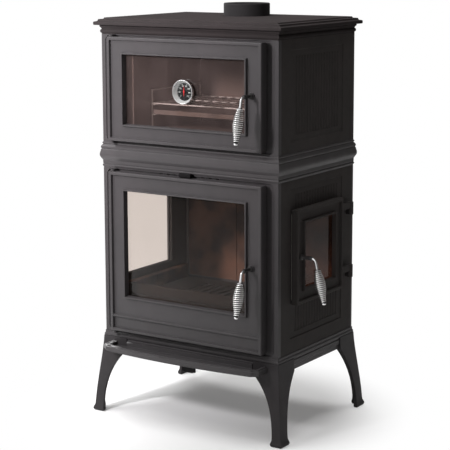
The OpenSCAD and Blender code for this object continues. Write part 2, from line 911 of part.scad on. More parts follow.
module oven_box() {
  t = sheet;
  color("#57504b")
    union() {
      difference() {
        box([-oven_in_half - t, frame_back_y + seat, oven_in_z[0] - t],
          [oven_in_half + t, oven_back_y, oven_in_z[1] + t]);
        box([-oven_in_half, frame_back_y - cut, oven_in_z[0]],
          [oven_in_half, oven_back_y - t, oven_in_z[1]]);
      }
      difference() {
        box([-flange_half, frame_back_y + seat, z_up + oven_door_gap + 8],
          [flange_half, frame_back_y + seat + t, z_top - 14]);
        box([-oven_in_half - t / 2, frame_back_y - cut, oven_in_z[0] - t / 2],
          [oven_in_half + t / 2, frame_back_y + 10, oven_in_z[1] + t / 2]);
      }
    }
}

// Wire side frames that carry the rack and the tray
stand_x = oven_in_half - 6;
stand_y = [frame_back_y + 90, oven_back_y - 14];
stand_r = 2.5;
rack_z = oven_in_z[0] + 84;
tray_z = rack_z - 34;
stand_top = rack_z + 42;
rack_r = 2.4;
rail_z = [rack_z - rack_r - 0.8 * stand_r - seat, tray_z - 0.8 * stand_r - seat];

module wire_z(x, y, z1, z2, r) {
  translate([x, y, z1])
    cylinder(r = r, h = z2 - z1);
}

module wire_y(x, z, y1, y2, r) {
  translate([x, 0, z])
    y_rod(r, y1, y2);
}

module wire_x(y, z, x1, x2, r) {
  translate([x1, y, z])
    rotate([0, 90, 0])
      cylinder(r = r, h = x2 - x1);
}

module rack_stand() {
  rail_in = 11;
  color("#8a8784")
    for (s = [-1, 1]) {
      for (y = stand_y)
        wire_z(s * stand_x, y, oven_in_z[0] + seat, stand_top + stand_r, stand_r);
      for (z = concat([stand_top], rail_z))
        wire_y(s * stand_x, z, stand_y[0] - stand_r, stand_y[1] + stand_r, stand_r * 0.9);
      for (z = rail_z, y = stand_y)
        wire_x(y, z, s > 0 ? stand_x - rail_in : -stand_x,
          s > 0 ? stand_x : rail_in - stand_x, stand_r * 0.8);
      for (z = rail_z)
        wire_y(s * (stand_x - rail_in), z, stand_y[0] - stand_r, stand_y[1] + stand_r,
          stand_r * 0.8);
    }
}

rack_half = stand_x - stand_r - 3;
rack_wires = 13;

module oven_rack() {
  y1 = stand_y[0] - 4;
  y2 = stand_y[1] - 4;
  color("#b4b2ae") {
    for (y = [y1, (y1 + y2) / 2, y2])
      wire_x(y, rack_z, -rack_half, rack_half, rack_r);
    for (i = [0:rack_wires - 1])
      wire_y(-rack_half + 4 + i * (2 * rack_half - 8) / (rack_wires - 1), rack_z + 1.2, y1 - 3,
        y2 + 3, 0.75 * rack_r);
  }
}

module drip_tray() {
  color("#6d6864")
    difference() {
      box([-rack_half + 2, stand_y[0] - 5, tray_z], [rack_half - 2, stand_y[1] - 6, tray_z + 14]);
      box([-rack_half + 4, stand_y[0] - 3, tray_z + 1.6],
        [rack_half - 4, stand_y[1] - 8, tray_z + 15]);
    }
}

// ---------- fixed side window ----------

screw_r = 2.5;
window_bar_t = 12;
window_screw_places = [for (sy = [-1, 1], k = [-1, 0, 1])
  [k * (window_frame_w / 2 - 14), sy * (window_frame_h / 2 - 14)]];

// Turns a piece drawn facing -Y about the origin to face -X on the left wall
module on_left_wall(z) {
  translate([land_in - half_w, 0, z])
    rotate([0, 0, -90])
      children();
}

module left_window_frame() {
  color("#3a383a")
    on_left_wall(pane_mid_z)
      difference() {
        translate([0, -window_bar_t, 0])
          chamfered_slab(window_frame_w, window_frame_h, window_bar_t, 3);
        sloped_block(pane_w - 8, pane_h - 8, -window_bar_t - cut, pane_w - 16, pane_h - 16, cut);
        sloped_block(pane_w + 2, pane_h + 2, -glass_t - seat, pane_w + 2, pane_h + 2, cut);
        for (p = window_screw_places)
          translate([p[0], 0, p[1]])
            y_rod(screw_r + turn_clear, -window_bar_t - cut, cut);
      }
}

module left_window_glass() {
  color("#b9c4c4", 0.4)
    on_left_wall(pane_mid_z)
      box([-pane_w / 2, -glass_t - seat / 2, -pane_h / 2], [pane_w / 2, -seat / 2, pane_h / 2]);
}

module pan_screw(len) {
  y_rod(screw_r, 0, len);
  translate([0, -2.6, 0])
    rotate([-90, 0, 0])
      cylinder(r1 = 3.4, r2 = 4.6, h = 2.6);
}

module left_window_screws() {
  color("#5c5a58")
    on_left_wall(pane_mid_z)
      for (p = window_screw_places)
        translate([p[0], -window_bar_t, p[1]])
          pan_screw(window_bar_t + 6);
}

// ---------- air controls ----------

module upper_air_slide() {
  knob_half = 21;
  knob_z = fire_z + fire_h + 1;
  color("#242324")
    union() {
      translate([0, front_y - 18, knob_z])
        rotate([90, 0, 90])
          linear_extrude(2 * knob_half, center = true)
            polygon([[2, 0], [14.2, 0], [14.2, 5], [13, 12], [11, 13.5], [2, 13.5], [0, 11.5],
              [0, 2]]);
      box([-shank_half, front_y - 6, knob_z + 0.2], [shank_half, frame_back_y + 2, knob_z + 4.6]);
      difference() {
        box([-140, frame_back_y + seat, knob_z - 12], [140, frame_back_y + 3, knob_z + 4.6]);
        air_slots([frame_back_y, frame_back_y + 4], knob_z - 0.4, knob_z + 3, 2, 4);
      }
    }
}

slide_half = 110;
slide_y = [front_y + skirt_t + 2, -88];
slide_t = 4;
slide_z = z_low - plate_t - slide_t - seat;
slide_bolt_len = slide_t + 2 * seat + plate_t - 2;

module at_slide_bolts() {
  for (x = [-70, 70], y = [-191, -99])
    translate([x, y, slide_z - seat])
      rotate([90, 0, 0])
        children();
}

// The slots let the slide move along its bolts
module slide_bolt_slot() {
  half = leg_bolt_r + turn_clear;
  box([-slide_travel - half, -half, -cut], [slide_travel + half, half, slide_t + cut]);
}

module lower_air_slide() {
  tab_half = 23;
  hang_y = slide_y[0] + 1;
  color("#242324")
    union() {
      difference() {
        box([-slide_half, slide_y[0], slide_z], [slide_half, slide_y[1], slide_z + slide_t]);
        air_slots([-168, -112], slide_z - 2, z_low);
        for (x = [-70, 70], y = [-191, -99])
          translate([x, y, slide_z])
            slide_bolt_slot();
      }
      box([-tab_half + 6, hang_y - 1, z_base - 18], [tab_half - 6, hang_y + 4,
        slide_z + slide_t]);
      box([-tab_half, front_y - 2, z_base - 18], [tab_half, hang_y + 4, z_base - 12]);
      box([-tab_half, front_y - 2, z_base - 36], [tab_half, front_y + 4, z_base - 12]);
    }
}

// ---------- doors ----------

stem_in = 39;
side_stem_in = 24;
boss_r = 10.5;

// A door casting facing -Y: its middle at the origin, its face at y = 0.
// win is the bead's outer size as [w, h], win_z the glass's middle.
module door_casting(w, h, t, win, win_z, back_land) {
  chan = panel_dp;
  pane = [win[0] - 2 * bead_w, win[1] - 2 * bead_w];
  pane_y = t - rebate_dp;
  difference() {
    chamfered_slab(w, h, t, 2);
    difference() {
      sloped_block(w - 2 * rim_w + 1, h - 2 * rim_w + 1, -cut / 4,
        w - 2 * rim_w - 2, h - 2 * rim_w - 2, chan);
      translate([0, 0, win_z])
        sloped_block(win[0] - 1, win[1] - 1, -cut, win[0] + 2, win[1] + 2, chan + cut);
    }
    translate([0, 0, win_z]) {
      sloped_block(pane[0] + 1, pane[1] + 1, -cut, pane[0] - 6, pane[1] - 6, t + cut);
      box([-pane[0] / 2 - glass_lap - 1, pane_y, -pane[1] / 2 - glass_lap - 1],
        [pane[0] / 2 + glass_lap + 1, t + cut, pane[1] / 2 + glass_lap + 1]);
    }
    // Rope groove round the back
    difference() {
      box([back_land - w / 2, t - 4, back_land - h / 2],
        [w / 2 - back_land, t + cut, h / 2 - back_land]);
      box([back_land + seal_w - w / 2, t - 5, back_land + seal_w - h / 2],
        [w / 2 - back_land - seal_w, t + 2 * cut, h / 2 - back_land - seal_w]);
    }
  }
}

seal_w = 7;
front_land = 6;
side_land_in = 2.6;

// Glass fibre rope in the groove: a rounded square ring
module rope_seal(w, h, t, back_land, reach) {
  a = w / 2 - back_land - 0.3;
  b = h / 2 - back_land - 0.3;
  s = seal_w - 0.6;
  difference() {
    box([-a, t - 3.7, -b], [a, t + reach, b]);
    box([s - a, t - 5, s - b], [a - s, t + reach + cut, b - s]);
    for (k = [-1, 1]) {
      translate([k * a, t + reach, 0])
        rotate([0, 0, 45])
          cube([2.4, 2.4, 3 * b], center = true);
      translate([0, t + reach, k * b])
        rotate([45, 0, 0])
          cube([3 * a, 2.4, 2.4], center = true);
    }
  }
}

function pane_size(win) =
  [win[0] - 2 * bead_w + 2 * glass_lap, win[1] - 2 * bead_w + 2 * glass_lap];

module door_pane(win, t) {
  p = pane_size(win);
  front = t - rebate_dp + seat;
  box([-p[0] / 2, front, -p[1] / 2], [p[0] / 2, front + glass_t, p[1] / 2]);
}

// Clips hold the glass in its rebate: each is a bent plate with its screw.
// places lists [x, z, turn]; turn 0 stands under the lower edge.
module glass_clip(t) {
  glass_back = t - rebate_dp + seat + glass_t;
  rotate([90, 0, 90])
    linear_extrude(24, center = true)
      polygon([[glass_back + 0.1, 9], [glass_back + 0.1, 0.1], [t + 0.1, 0.1], [t + 0.1, -15],
        [t + 2, -15], [t + 2, 2.1], [glass_back + 2, 2.1], [glass_back + 2, 9]]);
}

module clip_screw(t) {
  translate([0, t + 2, -9])
    rotate([0, 0, 180])
      pan_screw(9);
}

function clip_places(win, cols, rows) = let (p = pane_size(win)) concat(
  [for (i = [0:cols - 1], s = [0, 1])
    [(i - (cols - 1) / 2) * p[0] / cols, s == 0 ? -p[1] / 2 - 1 : p[1] / 2 + 1, s * 180]],
  [for (j = [0:rows - 1], s = [0, 1])
    [s == 0 ? -p[0] / 2 - 1 : p[0] / 2 + 1, (j - (rows - 1) / 2) * p[1] / rows,
      s == 0 ? 90 : -90]]);

module at_clips(places) {
  for (c = places)
    translate([c[0], 0, c[1]])
      rotate([0, c[2], 0])
        children();
}

module clips(win, t, cols, rows) {
  color("#6a6764")
    at_clips(clip_places(win, cols, rows)) {
      difference() {
        glass_clip(t);
        translate([0, 0, -9])
          y_rod(screw_r + turn_clear, t - 1, t + 4);
      }
      clip_screw(t);
    }
}

module clip_holes(win, t, cols, rows) {
  at_clips(clip_places(win, cols, rows))
    translate([0, 0, -9])
      y_rod(screw_r + turn_clear, t - rebate_dp, t + cut);
}

// The handle: a stem through the door, a bend and a rod that leans outwards
// with a core for the coil.  Drawn about its stem, y = 0 at the door's face.
module handle(t) {
  tail = t + 13;
  grip = coil_len / cos(grip_lean);
  color("#c9c7c4")
    union() {
      y_rod(stem_r, -stem_len, tail);
      translate([0, -stem_len, 0])
        sphere(r = stem_r);
      translate([0, -stem_len, -bend_r])
        rotate([0, -90, 180])
          rotate_extrude(angle = bend_turn)
            translate([bend_r, 0])
              circle(r = rod_r);
      translate([0, -stem_len - bend_r * sin(bend_turn), -bend_r * (1 - cos(bend_turn))])
        rotate([180 - grip_lean, 0, 0]) {
          translate([0, 0, -0.2])
            cylinder(r = rod_r - 0.1, h = rod_len + 0.2);
          translate([0, 0, rod_len - collar_disc_t])
            cylinder(r = coil_top_r + wire_r, h = collar_disc_t);
          translate([0, 0, rod_len - 1])
            cylinder(r = core_r, h = grip + nut_h);
          translate([0, 0, rod_len + grip])
            cylinder(r1 = nut_r, r2 = nut_r - nut_taper, h = nut_h);
        }
    }
}

// The coil: one wire wound on a swelling form
coil_rings = 8;
coil_sides = 6;
coil_span = coil_len / cos(grip_lean) - 2 * wire_r - 0.8;
function coil_r(s) = s < 0.42
  ? coil_top_r + (coil_mid_r - coil_top_r) * sin(90 * s / 0.42)
  : coil_foot_r + (coil_mid_r - coil_foot_r) * (0.5 + 0.5 * cos(180 * (s - 0.42) / 0.58));
function coil_at(k) = let (n = coil_curls * coil_rings, s = k / n, a = 360 * k / coil_rings)
  [coil_r(s) * cos(a), coil_r(s) * sin(a), wire_r + 0.4 + coil_span * s];
coil_line = [for (k = [0:coil_curls * coil_rings]) coil_at(k)];
function unit(v) = v / norm(v);
function coil_dir(k) = let (n = len(coil_line) - 1)
  unit(coil_line[min(k + 1, n)] - coil_line[max(k - 1, 0)]);
function coil_ring(k) = let (
    d = coil_dir(k),
    out = unit([coil_line[k][0], coil_line[k][1], 0]),
    side = unit(cross(d, out)),
    face = cross(side, d))
  [for (j = [0:coil_sides - 1]) let (a = 360 * j / coil_sides)
    coil_line[k] + wire_r * (cos(a) * face + sin(a) * side)];
coil_points = [for (k = [0:len(coil_line) - 1]) each coil_ring(k)];
coil_count = len(coil_line);
coil_faces = concat(
  [[for (j = [0:coil_sides - 1]) j]],
  [for (k = [0:coil_count - 2], j = [0:coil_sides - 1], h = [0, 1]) let (
      a = k * coil_sides + j,
      b = k * coil_sides + (j + 1) % coil_sides)
    h == 0 ? [a, a + coil_sides, b] : [b, a + coil_sides, b + coil_sides]],
  [[for (j = [coil_sides - 1:-1:0]) (coil_count - 1) * coil_sides + j]]);

// Least gap between neighbouring curls, measured on the wire's own points
coil_gap = min([for (k = [0:coil_count - 1 - coil_rings], m = [-1, 0, 1])
  let (q = min(coil_count - 1, k + coil_rings + m))
    norm(coil_line[k] - coil_line[q])]) - 2 * wire_r;
echo(coil_gap = coil_gap);

module grip_coil() {
  color("#d4d2cf")
    translate([0, -stem_len - bend_r * sin(bend_turn), -bend_r * (1 - cos(bend_turn))])
      rotate([180 - grip_lean, 0, 0])
        translate([0, 0, rod_len])
          polyhedron(points = coil_points, faces = coil_faces, convexity = 10);
}

// A cam on the stem's tail, its nose beside the edge of the opening
module latch_cam(t, nose) {
  color("#4d4a48")
    difference() {
      union() {
        y_rod(8, t + seat, t + 12);
        translate([0, t + 6, 0])
          intersection() {
            box([0, 0, -4.5], [nose, 6, 4.5]);
            translate([nose - 6.5, 0, 0])
              y_rod(7.7, -cut, 7);
          }
        box([0, t + 6, -4.5], [nose - 6, t + 12, 4.5]);
      }
      y_rod(stem_r + turn_clear, t - cut, t + 14);
    }
}

module stem_boss(dp) {
  y_rod(boss_r, dp - 5, dp + 2);
}

// --- oven door ---

oven_win = [door_w - 2 * door_stile, oven_h - 2 * oven_rail];
oven_mid_z = oven_z + oven_h / 2;
stem_x = door_w / 2 - stem_in;
stem_lift = 5;

module at_oven_door() {
  translate([0, door_face_y, oven_mid_z])
    children();
}

module pin_bores(h) {
  for (s = [-1, 1])
    translate([pin_x, door_t / 2, s > 0 ? h / 2 - pin_into_door - 1 : -h / 2 - cut])
      cylinder(r = pin_r + turn_clear, h = pin_into_door + 1 + cut);
}

module front_door(h, win, win_z, cols, rows) {
  difference() {
    union() {
      door_casting(door_w, h, door_t, win, win_z, front_land);
      translate([stem_x, 0, stem_lift])
        stem_boss(panel_dp);
    }
    translate([stem_x, 0, stem_lift])
      y_rod(stem_r + turn_clear, -cut, door_t + cut);
    pin_bores(h);
    translate([0, 0, win_z])
      clip_holes(win, door_t, cols, rows);
  }
}

module oven_door() {
  color("#47444a")
    at_oven_door()
      front_door(oven_h, oven_win, 0, 3, 2);
}

module oven_glass() {
  color("#8c8f8a", 0.4)
    at_oven_door()
      difference() {
        door_pane(oven_win, door_t);
        translate([0, 0, dial_up])
          y_rod(probe_r + 1, 0, door_t + 4);
      }
}

module oven_seal() {
  color("#8b8780")
    at_oven_door()
      rope_seal(door_w, oven_h, door_t, front_land, door_gap + 1 - seat);
}

module oven_glass_clips() {
  at_oven_door()
    clips(oven_win, door_t, 3, 2);
}

// The thermometer, drawn about its axis with y = 0 at the glass's front face
probe_r = 4;
case_dp = 16;
glass_face_y = door_t - rebate_dp + seat;

module at_dial() {
  at_oven_door()
    translate([0, glass_face_y, dial_up])
      rotate([90, 0, 0])
        children();
}

module thermometer_case() {
  back = glass_t + seat;
  color("#cfcdca")
    at_dial()
      rotate_extrude($fn = 96)
        polygon([[0, -back - 34], [probe_r - 1, -back - 32], [probe_r - 1, -back - 8],
          [9, -back - 8], [9, -back], [probe_r, -back], [probe_r, seat], [dial_r + 4, seat],
          [dial_case_r - 3, 3], [dial_case_r, case_dp - 3], [dial_case_r - 1.2, case_dp],
          [dial_case_r - 3.5, case_dp], [dial_r - 1.3, 9.2], [dial_r - 1.3, 8.3],
          [dial_r + 1, 8.3], [dial_r + 1, 3], [0, 3]]);
}

module thermometer_dial() {
  color("#1c1c1d")
    at_dial()
      translate([0, 0, 6.6])
        difference() {
          cylinder(r = dial_r + 0.7, h = 1.2, $fn = 96);
          translate([0, 0, -cut])
            cylinder(r = 1.3, h = 4);
        }
}

module thermometer_needle() {
  color("#b3262a")
    at_dial() {
      translate([0, 0, 3.4])
        cylinder(r = 1.25, h = 5.9);
      translate([0, 0, 8.4])
        cylinder(r = 2.4, h = 1);
      translate([0, 0, 8.5])
        linear_extrude(0.8)
          polygon([[-1.1, -7], [1.1, -7], [1.5, 0], [0.5, dial_r - 8], [-0.5, dial_r - 8],
            [-1.5, 0]]);
    }
}

module thermometer_lens() {
  color("#dfe6e6", 0.3)
    at_dial()
      translate([0, 0, 10.3])
        cylinder(r1 = dial_r - 0.1, r2 = dial_r + 0.9, h = 1, $fn = 96);
}

module at_oven_stem() {
  at_oven_door()
    translate([stem_x, 0, stem_lift])
      children();
}

module oven_handle() {
  at_oven_stem()
    handle(door_t);
}

module oven_grip_coil() {
  at_oven_stem()
    grip_coil();
}

module oven_latch_cam() {
  at_oven_stem()
    latch_cam(door_t, open_half - stem_x - 1.4);
}

// --- firebox door ---

fire_mid_z = fire_z + fire_h / 2;
fire_win = [door_w - 2 * door_stile, fire_h - fire_rail - fire_band];
fire_win_z = (fire_band - fire_rail) / 2;

module at_fire_door() {
  translate([0, door_face_y, fire_mid_z])
    children();
}

module fire_door() {
  bar_z = -fire_h / 2 + 51;
  color("#434046")
    at_fire_door()
      union() {
        front_door(fire_h, fire_win, fire_win_z, 3, 2);
        translate([0, 0, bar_z])
          rotate([90, 0, 90])
            linear_extrude(door_w - 2 * rim_w + 4, center = true)
              polygon([[panel_dp + 1, -6], [3, -5], [1, -3], [1, 2], [panel_dp + 1, 6]]);
      }
}

module fire_glass() {
  color("#8c8f8a", 0.35)
    at_fire_door()
      translate([0, 0, fire_win_z])
        door_pane(fire_win, door_t);
}

module fire_seal() {
  color("#8b8780")
    at_fire_door()
      rope_seal(door_w, fire_h, door_t, front_land, door_gap + 1 - seat);
}

module fire_glass_clips() {
  at_fire_door()
    translate([0, 0, fire_win_z])
      clips(fire_win, door_t, 3, 2);
}

module at_fire_stem() {
  at_fire_door()
    translate([stem_x, 0, stem_lift])
      children();
}

module fire_handle() {
  at_fire_stem()
    handle(door_t);
}

module fire_grip_coil() {
  at_fire_stem()
    grip_coil();
}

module fire_latch_cam() {
  at_fire_stem()
    latch_cam(door_t, open_half - stem_x - 1.4);
}

// --- side door ---

side_t_door = side_door_proud - door_gap;
side_win = [side_door_w - 2 * side_stile, side_door_h - 2 * side_rail];
side_stem_x = side_stem_in - side_door_w / 2;
side_pin_x = side_door_w / 2 + 64;
side_pin_y = side_t_door / 2;
knuckle_r = 9.5;
knuckle_h = 20;
knuckle_gap = 0.4;
side_pin_r = 4;
hinge_zs = [side_door_h * 0.35, -side_door_h * 0.35];

// Drawn facing -Y and turned to face +X
module at_side_door() {
  translate([half_w + side_door_proud, side_mid_y, side_mid_z])
    rotate([0, 0, 90])
      children();
}

module knuckle(z) {
  translate([side_pin_x, side_pin_y, z])
    cylinder(r = knuckle_r, h = knuckle_h);
}

module side_door() {
  color("#2f2d2f")
    at_side_door()
      difference() {
        union() {
          door_casting(side_door_w, side_door_h, side_t_door, side_win, 0, side_land_in);
          translate([side_stem_x, 0, 0])
            stem_boss(panel_dp);
          for (z = hinge_zs) {
            knuckle(z + knuckle_gap / 2);
            translate([0, side_pin_y, z + knuckle_gap / 2])
              linear_extrude(knuckle_h)
                polygon([[side_door_w / 2 - 2, -9], [side_door_w / 2 + 12, -5.5],
                  [side_pin_x, -4.5], [side_pin_x, 4.5], [side_door_w / 2 + 12, 5.5],
                  [side_door_w / 2 - 2, 9]]);
          }
        }
        for (z = hinge_zs)
          translate([side_pin_x, side_pin_y, z - cut])
            cylinder(r = side_pin_r + turn_clear, h = knuckle_h);
        translate([side_stem_x, 0, 0])
          y_rod(stem_r + turn_clear, -cut, side_t_door + cut);
        clip_holes(side_win, side_t_door, 2, 2);
      }
}

// Leaves on the body with the lower knuckles and the fixed pins
module side_hinges() {
  leaf_y = side_door_proud;
  color("#2b292a")
    at_side_door()
      for (z = hinge_zs) {
        translate([0, 0, -knuckle_gap / 2 - knuckle_h])
          difference() {
            union() {
              knuckle(z);
              box([side_pin_x - 5, side_pin_y, z], [side_pin_x + 5, leaf_y, z + knuckle_h]);
              box([side_pin_x - 5, leaf_y - 7, z], [side_pin_x + 32, leaf_y, z + knuckle_h]);
            }
            for (x = [15, 26])
              translate([side_pin_x + x, 0, z + knuckle_h / 2])
                y_rod(2.7, 0, leaf_y + cut);
          }
        translate([side_pin_x, side_pin_y, z - 2])
          cylinder(r = side_pin_r, h = knuckle_h - 3);
      }
}

module side_glass() {
  color("#8c8f8a", 0.4)
    at_side_door()
      door_pane(side_win, side_t_door);
}

module side_seal() {
  color("#8b8780")
    at_side_door()
      rope_seal(side_door_w, side_door_h, side_t_door, side_land_in, door_gap + land_in - seat);
}

module side_glass_clips() {
  at_side_door()
    clips(side_win, side_t_door, 2, 2);
}

module side_handle() {
  at_side_door()
    translate([side_stem_x, 0, 0])
      handle(side_t_door);
}

module side_grip_coil() {
  at_side_door()
    translate([side_stem_x, 0, 0])
      grip_coil();
}

module side_latch_cam() {
  at_side_door()
    translate([side_stem_x, 0, 0])
      mirror([1, 0, 0])
        latch_cam(side_t_door, side_stem_in - side_lap - 2.8);
}

placed() base_casting();
placed() leg(-1, -1);  // leg_front_left
placed() leg(1, -1);  // leg_front_right
placed() leg(-1, 1);  // leg_rear_left
placed() leg(1, 1);  // leg_rear_right
placed() casting_bolts();
placed() lower_front_frame();
placed() lower_left_panel();
placed() lower_right_panel();
placed() lower_back_panel();
placed() middle_cornice();
placed() upper_front_frame();
placed() upper_left_panel();
placed() upper_right_panel();
placed() upper_back_panel();
placed() top_plate();
placed() flue_collar();
placed() tie_rods();
placed() ash_lip();
placed() ash_pan();
placed() grate();
placed() log_guard();
placed() fire_bricks();
placed() baffle_plate();
placed() oven_box();
placed() rack_stand();
placed() oven_rack();
placed() drip_tray();
placed() left_window_frame();
placed() left_window_glass();
placed() left_window_screws();
placed() upper_air_slide();
placed() lower_air_slide();
placed() front_hinge_pins();
placed() side_hinges();
placed() oven_door();
placed() oven_glass();
placed() oven_seal();
placed() oven_glass_clips();
placed() thermometer_case();
placed() thermometer_dial();
placed() thermometer_needle();
placed() thermometer_lens();
placed() oven_handle();
placed() oven_grip_coil();
placed() oven_latch_cam();
placed() fire_door();
placed() fire_glass();
placed() fire_seal();
placed() fire_glass_clips();
placed() fire_handle();
placed() fire_grip_coil();
placed() fire_latch_cam();
placed() side_door();
placed() side_glass();
placed() side_seal();
placed() side_glass_clips();
placed() side_handle();
placed() side_grip_coil();
placed() side_latch_cam();
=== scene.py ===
"""A wood-burning cast iron range cooker in a plain studio.

The castings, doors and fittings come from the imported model. This script gives
every one its finish, eases the sharp edges of the castings, models the wound
grips, the handles, the thermometer and the rope seals, and sets up the camera,
the lamps and the floor.
"""

import json
import math

import bpy
from mathutils import Matrix, Vector


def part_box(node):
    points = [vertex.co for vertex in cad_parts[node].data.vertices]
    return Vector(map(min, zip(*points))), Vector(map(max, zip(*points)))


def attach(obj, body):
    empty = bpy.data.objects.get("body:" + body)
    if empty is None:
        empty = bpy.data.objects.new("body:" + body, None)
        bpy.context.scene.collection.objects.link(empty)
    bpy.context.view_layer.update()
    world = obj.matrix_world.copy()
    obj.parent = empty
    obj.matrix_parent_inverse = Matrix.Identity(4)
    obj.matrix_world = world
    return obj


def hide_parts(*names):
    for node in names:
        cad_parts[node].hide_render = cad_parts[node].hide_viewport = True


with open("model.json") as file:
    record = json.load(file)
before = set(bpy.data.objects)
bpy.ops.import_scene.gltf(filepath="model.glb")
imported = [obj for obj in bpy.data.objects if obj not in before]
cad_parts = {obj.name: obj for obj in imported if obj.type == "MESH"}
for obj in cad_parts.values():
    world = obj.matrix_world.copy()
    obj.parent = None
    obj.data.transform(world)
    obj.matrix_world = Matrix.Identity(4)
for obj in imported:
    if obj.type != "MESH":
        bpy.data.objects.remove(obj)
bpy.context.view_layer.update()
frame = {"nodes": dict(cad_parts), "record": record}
NODES = frame["nodes"]

# ---------------------------------------------------------------- places
# The row's origin is under the middle of the whole outline, so the body's
# middle is read back from the middle cornice.

cornice_low, cornice_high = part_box("middle_cornice")
BODY_X = (cornice_low[0] + cornice_high[0]) / 2
BODY_Y = (cornice_low[1] + cornice_high[1]) / 2


def at_body(x, y, z):
    """A place measured from the point on the floor under the body's middle."""
    return Vector((BODY_X + x, BODY_Y + y, z))


RIGHT = Vector((1.0, 0.0, 0.0))
FRONT = Vector((0.0, -1.0, 0.0))
BACK = Vector((0.0, 1.0, 0.0))
UP = Vector((0.0, 0.0, 1.0))

# The doors' faces, middles and thicknesses
DOOR_FACE_Y = -0.260
SIDE_FACE_X = 0.350
OVEN_MID_Z = 1.0525
FIRE_MID_Z = 0.53425
SIDE_MID_Z = 0.5645
FRONT_DOOR_T = 0.027
SIDE_DOOR_T = 0.022

# Where the handles' stems go through the doors
STEM_X = 0.245
STEM_LIFT = 0.005
SIDE_STEM_Y = -0.133

# ---------------------------------------------------------------- shader maths


class Sock:
    """An output socket that can be used in arithmetic."""

    def __init__(self, sheet, socket):
        self.sheet = sheet
        self.socket = socket

    def _math(self, operation, *values):
        return self.sheet.node("ShaderNodeMath", {"operation": operation}, *values)

    def __add__(self, other):
        return self._math("ADD", self, other)

    def __radd__(self, other):
        return self._math("ADD", other, self)

    def __sub__(self, other):
        return self._math("SUBTRACT", self, other)

    def __rsub__(self, other):
        return self._math("SUBTRACT", other, self)

    def __mul__(self, other):
        return self._math("MULTIPLY", self, other)

    def __rmul__(self, other):
        return self._math("MULTIPLY", other, self)


class Sheet:
    """One material's node tree."""

    def __init__(self, name, tree=None):
        self.material = None
        self.tree = tree
        if tree is None:
            self.material = bpy.data.materials.new(name)
            self.material.use_nodes = True
            self.tree = self.material.node_tree
        self.tree.nodes.clear()

    def node(self, kind, settings=None, *values, out=0, **named):
        """Adds a node, sets it up, feeds its sockets and gives its output."""
        made = self.tree.nodes.new(kind)
        for key, value in (settings or {}).items():
            setattr(made, key, value)
        for key, value in [*enumerate(values), *named.items()]:
            socket = made.inputs[key.replace("_", " ") if isinstance(key, str) else key]
            if isinstance(value, Sock):
                self.tree.links.new(value.socket, socket)
            elif value is not None:
                socket.default_value = value
        return Sock(self, made.outputs[out]) if len(made.outputs) else None

    def place(self):
        """Object coordinates, in metres."""
        return self.node("ShaderNodeTexCoord", out="Object")

    def noise(self, scale, detail=3.0, roughness=0.55, place=None):
        """A cloudy 0 to 1 value; scale is its patches to the metre."""
        return self.node(
            "ShaderNodeTexNoise", None, Vector=place or self.place(), Scale=scale,
            Detail=detail, Roughness=roughness,
        )

    def cells(self, scale):
        """The distance from scattered points; scale is how many to the metre."""
        return self.node(
            "ShaderNodeTexVoronoi", None, Vector=self.place(), Scale=scale, out="Distance",
        )

    def stretched(self, x, y, z):
        """Object coordinates, scaled along each axis."""
        return self.node("ShaderNodeMapping", None, Vector=self.place(), Scale=(x, y, z))

    def axis(self, letter):
        """One of the object coordinates, in metres."""
        return self.node("ShaderNodeSeparateXYZ", None, self.place(), out=letter)

    def smooth(self, value, low, high):
        """0 below low, 1 above high, smooth between."""
        return self.node(
            "ShaderNodeMapRange", {"interpolation_type": "SMOOTHSTEP"},
            Value=value, From_Min=low, From_Max=high,
        )

    def span(self, value, low, high):
        """A 0 to 1 value spread between low and high."""
        return value * (high - low) + low

    def mix(self, factor, first, second):
        """Two colours mixed: the first where the factor is 0, the second where it is 1."""
        made = self.node("ShaderNodeMix", {"data_type": "RGBA"}, out=2)
        mixer = made.socket.node
        for index, value in ((0, factor), (6, first), (7, second)):
            if isinstance(value, Sock):
                self.tree.links.new(value.socket, mixer.inputs[index])
            elif isinstance(value, tuple):
                mixer.inputs[index].default_value = (*value, 1.0)
            else:
                mixer.inputs[index].default_value = value
        return made

    def bump(self, height, strength, distance):
        """A surface raised by the height, by up to this distance in metres."""
        return self.node("ShaderNodeBump", None, Height=height, Strength=strength,
                         Distance=distance)

    def looked_at(self):
        """1 where the camera looks, straight or through glass."""
        return self.node(
            "ShaderNodeMath", {"operation": "MAXIMUM"},
            self.node("ShaderNodeLightPath", out="Is Camera Ray"),
            self.node("ShaderNodeLightPath", out="Is Transmission Ray"),
        )

    def close(self, shader):
        """The material's output."""
        self.node("ShaderNodeOutputMaterial", None, Surface=shader)
        return self.material

    def finish(self, **sockets):
        """The principled shader with these sockets, and the material's output."""
        return self.close(self.node("ShaderNodeBsdfPrincipled", None, **sockets))


def toned(colour, *by):
    """A colour with each channel multiplied, by one number or by three."""
    by = by * 3 if len(by) == 1 else by
    return tuple(c * k for c, k in zip(colour, by))


# ---------------------------------------------------------------- finishes

# The grain of sand-cast iron, the mottle of its paint, and smears on bright metal
GRAIN = 1500.0
MOTTLE = 24.0
SMEARS = 60.0


